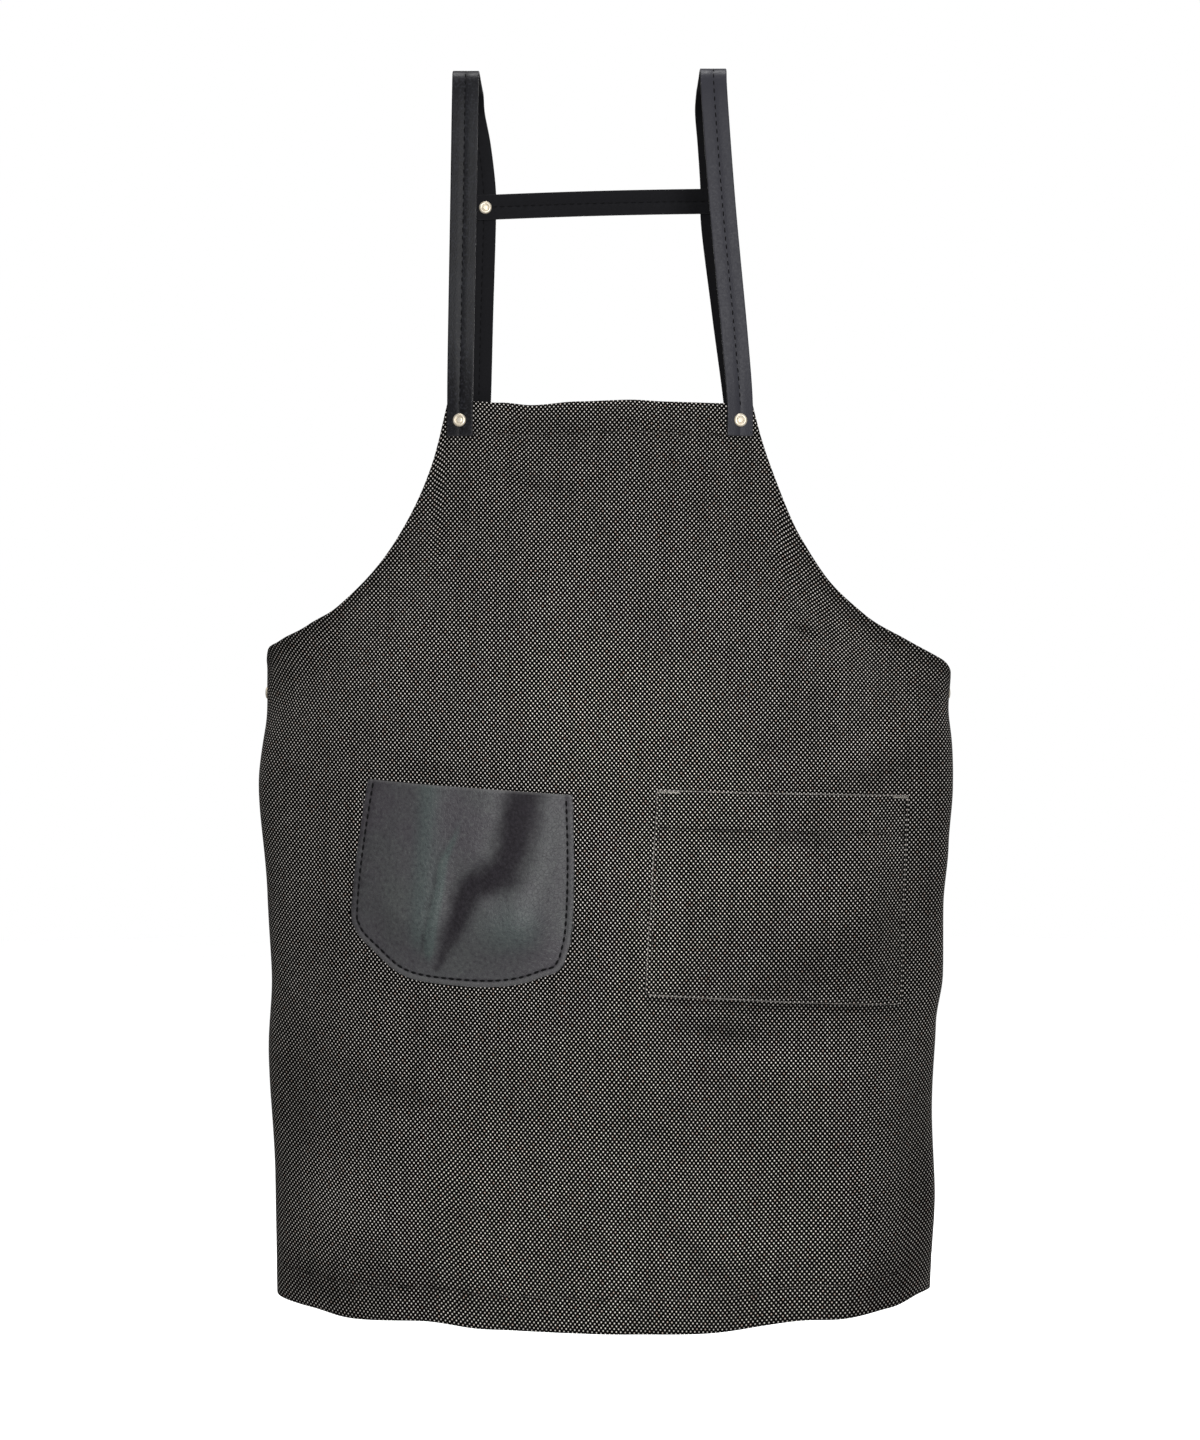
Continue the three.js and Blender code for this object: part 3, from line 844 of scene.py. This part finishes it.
def makeLeatherPocket():
    columns, rows = 112, 92
    mesh = grid(columns, rows)
    foldShade = mesh.verts.layers.float.new("foldShade")
    paintedHighlight = mesh.verts.layers.float.new("paintedSheen")
    edge = mesh.verts.layers.float.new("cutEdgeAndHighlight")
    for vert, column, row in gridPlaces(mesh, columns, rows):
        across = math.sin((2 * column / columns - 1) * math.pi / 2)
        down = math.sin(row / rows * math.pi / 2) * leatherDepth(across)
        x = across * leatherHalf(down)
        off, valley, paintedSheen, inside = leatherFace(x, down, across)
        vert.co = pocketPoint(leatherPocket, x, down, off)[0]
        # painted shade and painted highlight of the leather's folds
        vert[foldShade] = clamp(valley)
        vert[paintedHighlight] = clamp(paintedSheen)
        vert[edge] = 0.40 * ease(down, 0.12, 0.16) * (1 - ease(inside, 0.0035, 0.0052))
    piece = makePiece("leather_patch_pocket", mesh, pocketLeather)
    return giveWall(piece, leatherPocket["thickness"], 0.0004)


def giveWall(piece, thickness, rounding):  # a wall behind the face, its cut edge rounded and marked
    mesh = bmesh.new()
    mesh.from_mesh(piece.data)
    edge = mesh.verts.layers.float["cutEdgeAndHighlight"]
    bmesh.ops.recalc_face_normals(mesh, faces=mesh.faces)
    if sum(face.normal.y for face in mesh.faces) > 0:
        bmesh.ops.reverse_faces(mesh, faces=mesh.faces)
    bmesh.ops.solidify(mesh, geom=mesh.faces[:], thickness=thickness)
    sharp = [e for e in mesh.edges if len(e.link_faces) == 2 and e.calc_face_angle() > math.radians(50)]
    made = bmesh.ops.bevel(mesh, geom=sharp, offset=rounding, segments=2, profile=0.5,
                           affect="EDGES", material=-1)
    # the rounded rim painted pale: edge colour on leather, a painted highlight on the cloth pocket
    for vert in made["verts"]:
        vert[edge] = max(vert[edge], 0.50)
    mesh.to_mesh(piece.data)
    mesh.free()
    for polygon in piece.data.polygons:
        polygon.use_smooth = True
    return piece


leatherPatch = makeLeatherPocket()
hangPiece(leatherPatch)
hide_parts("leather_pocket")
print("leather pocket made")


def insetLine(outline, inset, top):
    line = []
    for before, here, after in zip(outline, outline[1:], outline[2:]):
        run = Vector((after[0] - before[0], after[1] - before[1])).normalized()
        line.append((here[0] + run.y * inset, here[1] - run.x * inset))
    return [place for place in line if place[1] > top]


def makeLeatherThread():
    line = []
    for x, down in insetLine(leatherOutline, leatherPocket["stitchInset"], 0.003):
        across = clamp(x / leatherHalf(down), -1, 1)
        off = leatherFace(x, down, across)[0]
        place, (along, depth) = pocketPoint(leatherPocket, x, down, off + 0.0001)
        line.append((place, awayAt(along, bibTopZ - depth)))
    return makeStitches("leather_pocket_stitches", [line], darkThread, leatherStitch)


leatherThread = makeLeatherThread()
hangPiece(leatherThread)
print("leather pocket stitched")

pocketStitch = {"pitch": 0.0042, "length": 0.0033, "width": 0.00065, "height": 0.0005, "margin": 0.002}
barTack = {"length": 0.020, "stitches": 24}


def clothPocketOff(x, down):
    half = clothPocket["width"] / 2
    fromSide, fromBottom = half - abs(x), clothPocket["depth"] - down
    off = pocketStand(clothPocket, fromSide, fromBottom)
    inside = min(fromSide, fromBottom)
    off -= 0.00035 * hump(inside, clothPocket["stitchInset"], 0.001)
    off -= 0.0003 * hump(down, clothPocket["topHem"], 0.0012)
    loose = ease(inside, 0.01, 0.05)
    off += 0.0010 * loose * noise.noise(Vector((x * 18, down * 14, 2.0)))
    return max(off, 0.0002) + clothPocket["thickness"]


def spread(length, count, extra):  # even steps, with more where a seam or an edge needs them
    places = [length * step / count for step in range(count + 1)]
    places = [p for p in places if all(abs(p - e) > 0.0005 for e in extra)]
    return sorted(places + list(extra))


def makeClothPocket():
    half, depth, inset = clothPocket["width"] / 2, clothPocket["depth"], clothPocket["stitchInset"]
    seams = [0.0007, 0.0016, inset - 0.001, inset, inset + 0.001]
    xs = spread(2 * half, 84, seams + [2 * half - s for s in seams])
    top = clothPocket["topHem"]
    downs = spread(depth, 64, [0.0007, 0.0016, top - 0.001, top, top + 0.001] + [depth - s for s in seams])
    mesh = grid(len(xs) - 1, len(downs) - 1)
    shade = mesh.verts.layers.float.new("shade")
    pale = mesh.verts.layers.float.new("cutEdgeAndHighlight")
    flat = {}
    for vert, column, row in gridPlaces(mesh, len(xs) - 1, len(downs) - 1):
        x, down = xs[column] - half, downs[row]
        corner = clothPocket["corner"]
        overX, overDown = abs(x) - half + corner, down - depth + corner
        if overX > 0 and overDown > 0:
            shrink = max(overX, overDown) / math.hypot(overX, overDown)
            x -= math.copysign(overX * (1 - shrink), x)
            down -= overDown * (1 - shrink)
        vert.co, (along, below) = pocketPoint(clothPocket, x, down, clothPocketOff(x, down))
        u, v = weaveAt(along, below)
        flat[vert.index] = (u + 0.0013, v + 0.0031 + 0.03 * x)
        # painted shade along the top hem's sunk stitch line
        vert[shade] = shadeAt(along, below) * (1 - 0.3 * hump(down, top, 0.0014))
        # painted highlight along the folded edges, strongest along the bottom towards the left
        fromEdges = (down, half + x, half - x, depth - down)
        highlightAmounts = (0.34, 0.30, 0.22, mix(0.85, 0.40, ease(x, -0.06, 0.04)))
        vert[pale] = max(k * (1 - ease(e, 0.0006, 0.0016)) for k, e in zip(highlightAmounts, fromEdges))
    return giveWall(makeCloth("cloth_patch_pocket", mesh, flat), clothPocket["thickness"], 0.0005)


def makePocketThread():
    half, depth, inset = clothPocket["width"] / 2, clothPocket["depth"], clothPocket["stitchInset"]
    between = [x for x in spread(2 * half, 60, []) if inset < x < 2 * half - inset]
    downs = spread(depth - inset, 40, [])
    seam = [(inset - half, d) for d in downs]
    seam += [(x - half, depth - inset) for x in between]
    seam += [(half - inset, d) for d in reversed(downs)]
    hem = [(x - half, clothPocket["topHem"]) for x in between]
    return [pocketLine(seam), pocketLine(hem)]


def pocketLine(places):
    line = []
    for x, down in places:
        place, (along, depth) = pocketPoint(clothPocket, x, down, clothPocketOff(x, down) + 0.0001)
        line.append((place, awayAt(along, bibTopZ - depth)))
    return line


def makeBarTacks():
    mesh = bmesh.new()
    half, inset = clothPocket["width"] / 2, clothPocket["stitchInset"]
    for side in (-1, 1):
        for number in range(barTack["stitches"]):
            share = number / (barTack["stitches"] - 1) - 0.5
            x = side * (half - 0.5 * barTack["length"] - 0.001) + share * barTack["length"]
            down = 0.0022 + 0.0008 * math.sin(number * 2.1) * ease(share * side, -0.3, 0.2)
            place, (along, depth) = pocketPoint(clothPocket, x, down, clothPocketOff(x, down) + 0.0002)
            away = awayAt(along, bibTopZ - depth)
            down3 = Vector((0, 0, -1))
            across = away.cross(down3)
            turn = Matrix([across * 0.00055, away * 0.0004, down3 * 0.0008]).transposed().to_4x4()
            turn.translation = place
            bmesh.ops.create_uvsphere(mesh, u_segments=6, v_segments=4, radius=1, matrix=turn)
    bmesh.ops.recalc_face_normals(mesh, faces=mesh.faces)
    return makePiece("cloth_pocket_bar_tacks", mesh, paleThread)


clothPatch = makeClothPocket()
clothThread = makeStitches("cloth_pocket_stitches", makePocketThread(), hemThread, pocketStitch)
barTacks = makeBarTacks()
for piece in (clothPatch, clothThread, barTacks):
    hangPiece(piece)
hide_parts("cloth_pocket")
print("cloth pocket made")


# Leather harness

strap = {
    "width": 0.025,
    "thickness": 0.003,
    "edge": 0.0005,
    "groove": 0.0003,
    "frontCorner": 0.018,
    "backCorner": 0.040,
    "clearance": 0.0003,
    "wingSlack": 0.0005,
    "bibRivetInset": 0.013,
    "bibRivetBelow": 0.016,
    "wingRivetInset": 0.016,
    "wingRivetBelow": 0.024,
    "endBelowRivet": 0.015,
    "lowX": {-1: -0.124, 1: 0.140},
    "crownRise": {-1: 0.0014, 1: 0.0036},
    "crossRise": 0.007,
    "crossRivetShift": 0.002,
    # painted light: how much paler each strap's face is painted, as if lit more
    "paintedLight": {-1: 0.0, 1: 1.0},
    "steps": 14,
}
strapStitch = {"pitch": 0.0078, "length": 0.0052, "width": 0.0013, "height": 0.0008, "margin": 0.008}

front, back, up = Vector((0, -1, 0)), Vector((0, 1, 0)), Vector((0, 0, 1))
crossLow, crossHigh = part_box("cross_strap")
crossZ = (crossLow.z + crossHigh.z) / 2
crossY = (crossLow.y + crossHigh.y) / 2
bibRivetAlong = cloth["bibWidth"] / 2 - strap["bibRivetInset"]
bibRivetZ = bibTopZ - strap["bibRivetBelow"]
wingRivetAlong = cloth["width"] / 2 - strap["wingRivetInset"]
wingRivetZ = wingZ - strap["wingRivetBelow"]
strapOnCloth = cloth["thickness"] / 2 + strap["clearance"] + strap["thickness"] / 2
crownX = {side: next(m["pos_m"][0] for m in frame["record"]["mounts"] if m["name"] == name + "_crown")
          for side, name in ((-1, "left"), (1, "right"))}
crossX = {side: sum(corner.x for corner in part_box(name + "_cross_rivet_cap")) / 2
          for side, name in ((-1, "left"), (1, "right"))}


def strapRoute(side):  # from the bib over the shoulder to the wing, each stop with its outward side
    x, atCross, atLow = crownX[side], crossX[side], strap["lowX"][side]
    mid = strap["thickness"] / 2 + strap["crownRise"][side]
    frontBend, backBend = strap["frontCorner"] * math.sqrt(0.5), strap["backCorner"] * math.sqrt(0.5)
    flatFrom, flatTo = frontY + strap["frontCorner"], -frontY - strap["backCorner"]
    low = drape(side * bibRivetAlong, bibRivetZ - strap["endBelowRivet"], strapOnCloth)
    top = drape(side * bibRivetAlong, bibTopZ, strapOnCloth)
    away = awayAt(side * bibRivetAlong, bibRivetZ)
    near = Vector((mix(top.x, x, 0.2), mix(top.y, frontY, 0.3), bibTopZ * 0.8))
    route = [
        (low, away),
        (top, away),
        (near, front),
        (Vector((mix(near.x, x, 0.6), frontY, bibTopZ * 0.4)), front),
        (Vector((x, frontY, mid - strap["frontCorner"])), front),
        (Vector((x, flatFrom - frontBend, mid - strap["frontCorner"] + frontBend)), up + front),
    ]
    route += [(Vector((x, mix(flatFrom, flatTo, share), mid)), up) for share in (0, 0.33, 0.67, 1)]
    route += [
        (Vector((x, flatTo + backBend, mid - strap["backCorner"] + backBend)), up + back),
        (Vector((mix(x, atCross, 0.5), -frontY, mid - strap["backCorner"])), back),
        (Vector((atCross, -frontY, crossZ + strap["width"] / 2)), back),
        (Vector((atCross, -frontY, crossZ - strap["width"] / 2)), back),
        (Vector((mix(atCross, atLow, 0.45), -frontY + 0.003, mix(crossZ, bibTopZ, 0.5))), back),
        (Vector((atLow, -frontY + 0.012, bibTopZ)), back),
    ]
    return route + wingTurn(side, atLow)


def wingTurn(side, atLow):  # out from the back and round to the inside of the wing
    edge = cloth["width"] / 2
    wing = drape(side * edge, wingRivetZ)
    turns = []
    stops = ((0.04, -0.008, 0.42), (0.2, 0.022, 0.75), (0.48, 0.044, 0.95), (0.78, 0.046, 1.0))
    for share, behind, fall in stops:
        x = side * mix(abs(atLow), abs(wing.x), share)
        turns.append((Vector((x, wing.y + behind, mix(bibTopZ, wingRivetZ, fall))), back))
    inset = strap["wingRivetInset"]
    for past in (0.034, 0.014, -0.008, -inset, -inset - strap["endBelowRivet"]):
        along = side * (edge + past)
        place = drape(along, wingRivetZ, -strapOnCloth - strap["wingSlack"] / 2)
        turns.append((place, awayAt(along, wingRivetZ)))
    return turns


def strapFrames(route, steps):  # place, across, outward at every step of the way
    points = [place for place, away in route]
    aways = [away.normalized() for place, away in route]
    spans = len(route) - 1
    frames = []
    for number in range(spans * steps + 1):
        t = number / (spans * steps)
        span = min(number // steps, spans - 1)
        away = aways[span].lerp(aways[span + 1], t * spans - span)
        ahead = curveThrough(points, min(t + 0.0004, 1)) - curveThrough(points, max(t - 0.0004, 0))
        across = ahead.cross(away).normalized()
        frames.append((curveThrough(points, t), across, across.cross(ahead).normalized()))
    return frames


def strapSection():  # (across, outward) round a flat strap, a stitch line sunk in both faces
    half, thick, edge, groove = strap["width"] / 2, strap["thickness"] / 2, strap["edge"], strap["groove"]
    face = [(half - edge, 0), (half - 0.0016, 0), (0.006, 0), (0.0014, 0), (0.0006, groove), (0.0, groove)]
    outer = [(x, thick - dip) for x, dip in face] + [(-x, thick - dip) for x, dip in reversed(face[:-1])]
    corner = [(-half + edge * 0.3, thick - edge * 0.3), (-half, thick - edge), (-half, edge - thick),
              (-half + edge * 0.3, edge * 0.3 - thick)]
    return outer + corner + [(-x, -w) for x, w in outer] + [(-x, -w) for x, w in corner]


def makeStrap(name, frames, paintedLight=0.0):
    section = strapSection()
    around, rows = len(section), len(frames) - 1
    mesh = grid(around, rows)
    edge = mesh.verts.layers.float.new("cutEdgeAndHighlight")
    inner = mesh.verts.layers.float.new("innerFace")
    pale = mesh.verts.layers.float.new("paintedLight")
    for vert, column, row in gridPlaces(mesh, around, rows):
        place, across, outward = frames[row]
        x, w = section[column % around]
        vert.co = place + across * x + outward * w
        vert[edge] = 1.0 if abs(x) > strap["width"] / 2 - strap["edge"] * 0.6 else 0.0
        vert[inner] = 1.0 if w < 0 else 0.0
        vert[pale] = paintedLight
    bmesh.ops.remove_doubles(mesh, verts=mesh.verts, dist=0.000001)
    ends = bmesh.ops.holes_fill(mesh, edges=[e for e in mesh.edges if e.is_boundary], sides=0)
    for face in ends["faces"]:
        for vert in face.verts:
            vert[edge] = max(vert[edge], 0.6)
    bmesh.ops.recalc_face_normals(mesh, faces=mesh.faces)
    piece = makePiece(name, mesh, strapLeather)
    rounding = piece.modifiers.new("crisp ends", "BEVEL")
    rounding.width = 0.0004
    rounding.segments = 2
    rounding.limit_method = "ANGLE"
    rounding.angle_limit = math.radians(70)
    return piece


def stitchLines(frames):
    rise = strap["thickness"] / 2 - strap["groove"] + 0.0001
    return [[(place + outward * rise, outward) for place, across, outward in frames],
            [(place - outward * rise, -outward) for place, across, outward in frames]]


def crossSpot(side, y):  # the middle of a cross rivet: the piece hangs a little lower at the wearer's right
    return Vector((crossX[side] + strap["crossRivetShift"], y, crossZ + side * strap["crossRise"] / 2))


def rivetSpots(side):
    return [
        (drape(side * bibRivetAlong, bibRivetZ), 0.0095),
        (drape(side * wingRivetAlong, wingRivetZ), 0.0095),
        (crossSpot(side, (crossY - frontY) / 2), 0.0095),
    ]


for side, name in ((-1, "left"), (1, "right")):
    frames = strapFrames(strapRoute(side), strap["steps"])
    shoulder = makeStrap(name + "_strap", frames, strap["paintedLight"][side])
    thread = makeStitches(name + "_strap_stitches", stitchLines(frames), darkThread,
                          dict(strapStitch, clearOf=rivetSpots(side)))
    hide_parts(name + "_shoulder_strap")
    for piece in (shoulder, thread):
        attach(piece, "harness")

crossEnds = (crossLow.x, crossHigh.x)
crossFrames = []
for step in range(61):
    rise = strap["crossRise"] * (step / 60 - 0.5) + 0.0012 * math.sin(step / 60 * math.pi)
    crossFrames.append((Vector((mix(*crossEnds, step / 60), crossY, crossZ + rise)), up, back))
crossPiece = makeStrap("cross_piece", crossFrames)
crossThread = makeStitches("cross_piece_stitches", stitchLines(crossFrames), darkThread,
                           dict(strapStitch, clearOf=rivetSpots(-1) + rivetSpots(1)))
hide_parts("cross_strap")
for piece in (crossPiece, crossThread):
    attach(piece, "harness")
print("harness made")


# Rivets, turned about their own axis

rivet = {"radius": 0.0064, "height": 0.0024, "post": 0.002, "steps": 48}


def turned(name, profile, face, away):
    mesh = bmesh.new()
    verts = [mesh.verts.new((radius, 0, height)) for radius, height in profile]
    edges = [mesh.edges.new(pair) for pair in zip(verts, verts[1:])]
    bmesh.ops.spin(mesh, geom=verts + edges, cent=(0, 0, 0), axis=(0, 0, 1), angle=math.tau,
                   steps=rivet["steps"], use_merge=True)
    bmesh.ops.remove_doubles(mesh, verts=mesh.verts, dist=0.000001)
    bmesh.ops.recalc_face_normals(mesh, faces=mesh.faces)
    turn = up.rotation_difference(away).to_matrix().to_4x4()
    turn.translation = face
    bmesh.ops.transform(mesh, matrix=turn, verts=mesh.verts)
    piece = makePiece(name, mesh, brass)
    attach(piece, "harness")
    return piece


def capProfile(stack):
    radius, height, post = rivet["radius"], rivet["height"], rivet["post"]
    shape = [(0.0, 0.80), (0.30, 0.79), (0.44, 0.76), (0.47, 0.60), (0.51, 0.60), (0.55, 0.86),
             (0.62, 0.98), (0.74, 1.0), (0.86, 0.90), (0.95, 0.68), (1.0, 0.40), (0.985, 0.10), (0.95, 0.0)]
    return [(r * radius, h * height) for r, h in shape] + [(post, 0.0), (post, -stack), (0.0, -stack)]


def baseProfile():
    radius, height = rivet["radius"] * 0.96, rivet["height"] * 0.9
    shape = [(0.0, 0.94), (0.35, 0.96), (0.62, 1.0), (0.80, 0.92), (0.93, 0.66), (1.0, 0.34),
             (0.98, 0.0), (0.4, 0.0)]
    return [(r * radius, -h * height) for r, h in shape] + [(0.0, -0.2 * height)]


def makeRivet(name, face, away, stack):
    gap = strap["clearance"]
    cap = turned("rivet_" + name + "_cap", capProfile(stack), face + away * gap, away)
    base = turned("rivet_" + name + "_base", baseProfile(), face - away * (stack + gap), away)
    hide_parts(name + "_rivet_cap")
    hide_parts(name + "_rivet_base")


for side, name in ((-1, "left"), (1, "right")):
    onCloth = strap["thickness"] + strap["clearance"] + cloth["thickness"]
    bibFace = drape(side * bibRivetAlong, bibRivetZ, strapOnCloth + strap["thickness"] / 2)
    makeRivet(name + "_bib", bibFace, awayAt(side * bibRivetAlong, bibRivetZ), onCloth)
    wingFace = drape(side * wingRivetAlong, wingRivetZ, cloth["thickness"] / 2)
    wingAway = awayAt(side * wingRivetAlong, wingRivetZ)
    makeRivet(name + "_wing", wingFace, wingAway, onCloth + strap["wingSlack"])
    crossFace = crossSpot(side, crossLow.y)
    makeRivet(name + "_cross", crossFace, front, 2 * strap["thickness"] + strap["clearance"])
print("rivets made")


# Studio

studio = {
    "floorBelowHem": 0.45,
    "floorRadius": 9.0,
    "cameraAway": 2.2,
    "cameraHeight": -0.617,
    "lens": 57.9,
    "sky": 0.26,
    "overhead": 2.6,
    "aimHeight": -0.62,
    "key": {"place": (0.40, -2.95, -0.30), "size": (0.9, 1.7), "power": 72},
    "back": {"place": (0.3, 2.8, 0.4), "size": (2.0, 1.6), "power": 50},
}


def makeFloor():
    n = Nodes("pale floor")
    colour = n.mix(n.noise(3.0, 2.0), (0.95, 0.95, 0.95, 1), (0.97, 0.97, 0.97, 1))
    material = n.finish(Base_Color=colour, Roughness=0.8)
    mesh = bmesh.new()
    bmesh.ops.create_circle(mesh, cap_ends=True, segments=96, radius=studio["floorRadius"])
    bmesh.ops.translate(mesh, vec=(0, 0, hemZ - studio["floorBelowHem"]), verts=mesh.verts)
    floor = makePiece("floor", mesh, material, smooth=False)
    floor.visible_diffuse = False  # no bounce from below on the apron
    floor.visible_glossy = False


def makeLight(name):
    data = bpy.data.lights.new(name, "AREA")
    data.shape = "RECTANGLE"
    data.size, data.size_y = studio[name]["size"]
    data.energy = studio[name]["power"]
    light = bpy.data.objects.new(name, data)
    light.location = studio[name]["place"]
    aim = Vector((0, 0, studio["aimHeight"])) - light.location
    light.rotation_euler = aim.to_track_quat("-Z", "Y").to_euler()
    bpy.context.scene.collection.objects.link(light)


def makeOverhead():  # straight down, so that it lights the floor and hardly the apron
    data = bpy.data.lights.new("overhead", "SUN")
    data.energy = studio["overhead"]
    data.angle = math.radians(20)
    light = bpy.data.objects.new("overhead", data)
    bpy.context.scene.collection.objects.link(light)


def makeSky():  # white to look at, softer as a light
    world = bpy.data.worlds.new("studio")
    world.use_nodes = True
    nodes, links = world.node_tree.nodes, world.node_tree.links
    background = nodes["Background"]
    background.inputs["Color"].default_value = (1, 1, 1, 1)
    seen = nodes.new("ShaderNodeLightPath")
    level = nodes.new("ShaderNodeMapRange")
    level.inputs["To Min"].default_value = studio["sky"]
    level.inputs["To Max"].default_value = 1.0
    links.new(seen.outputs["Is Camera Ray"], level.inputs["Value"])
    links.new(level.outputs["Result"], background.inputs["Strength"])
    bpy.context.scene.world = world
    bpy.context.scene.view_settings.view_transform = "Standard"


makeFloor()
makeLight("key")
makeLight("back")
makeOverhead()
makeSky()

cameraData = bpy.data.cameras.new("camera")
cameraData.lens = studio["lens"]
camera = bpy.data.objects.new("camera", cameraData)
camera.location = (0, frontY - studio["cameraAway"], studio["cameraHeight"])
camera.rotation_euler = (math.radians(90), 0, 0)
bpy.context.scene.collection.objects.link(camera)
bpy.context.scene.camera = camera
print("studio made")
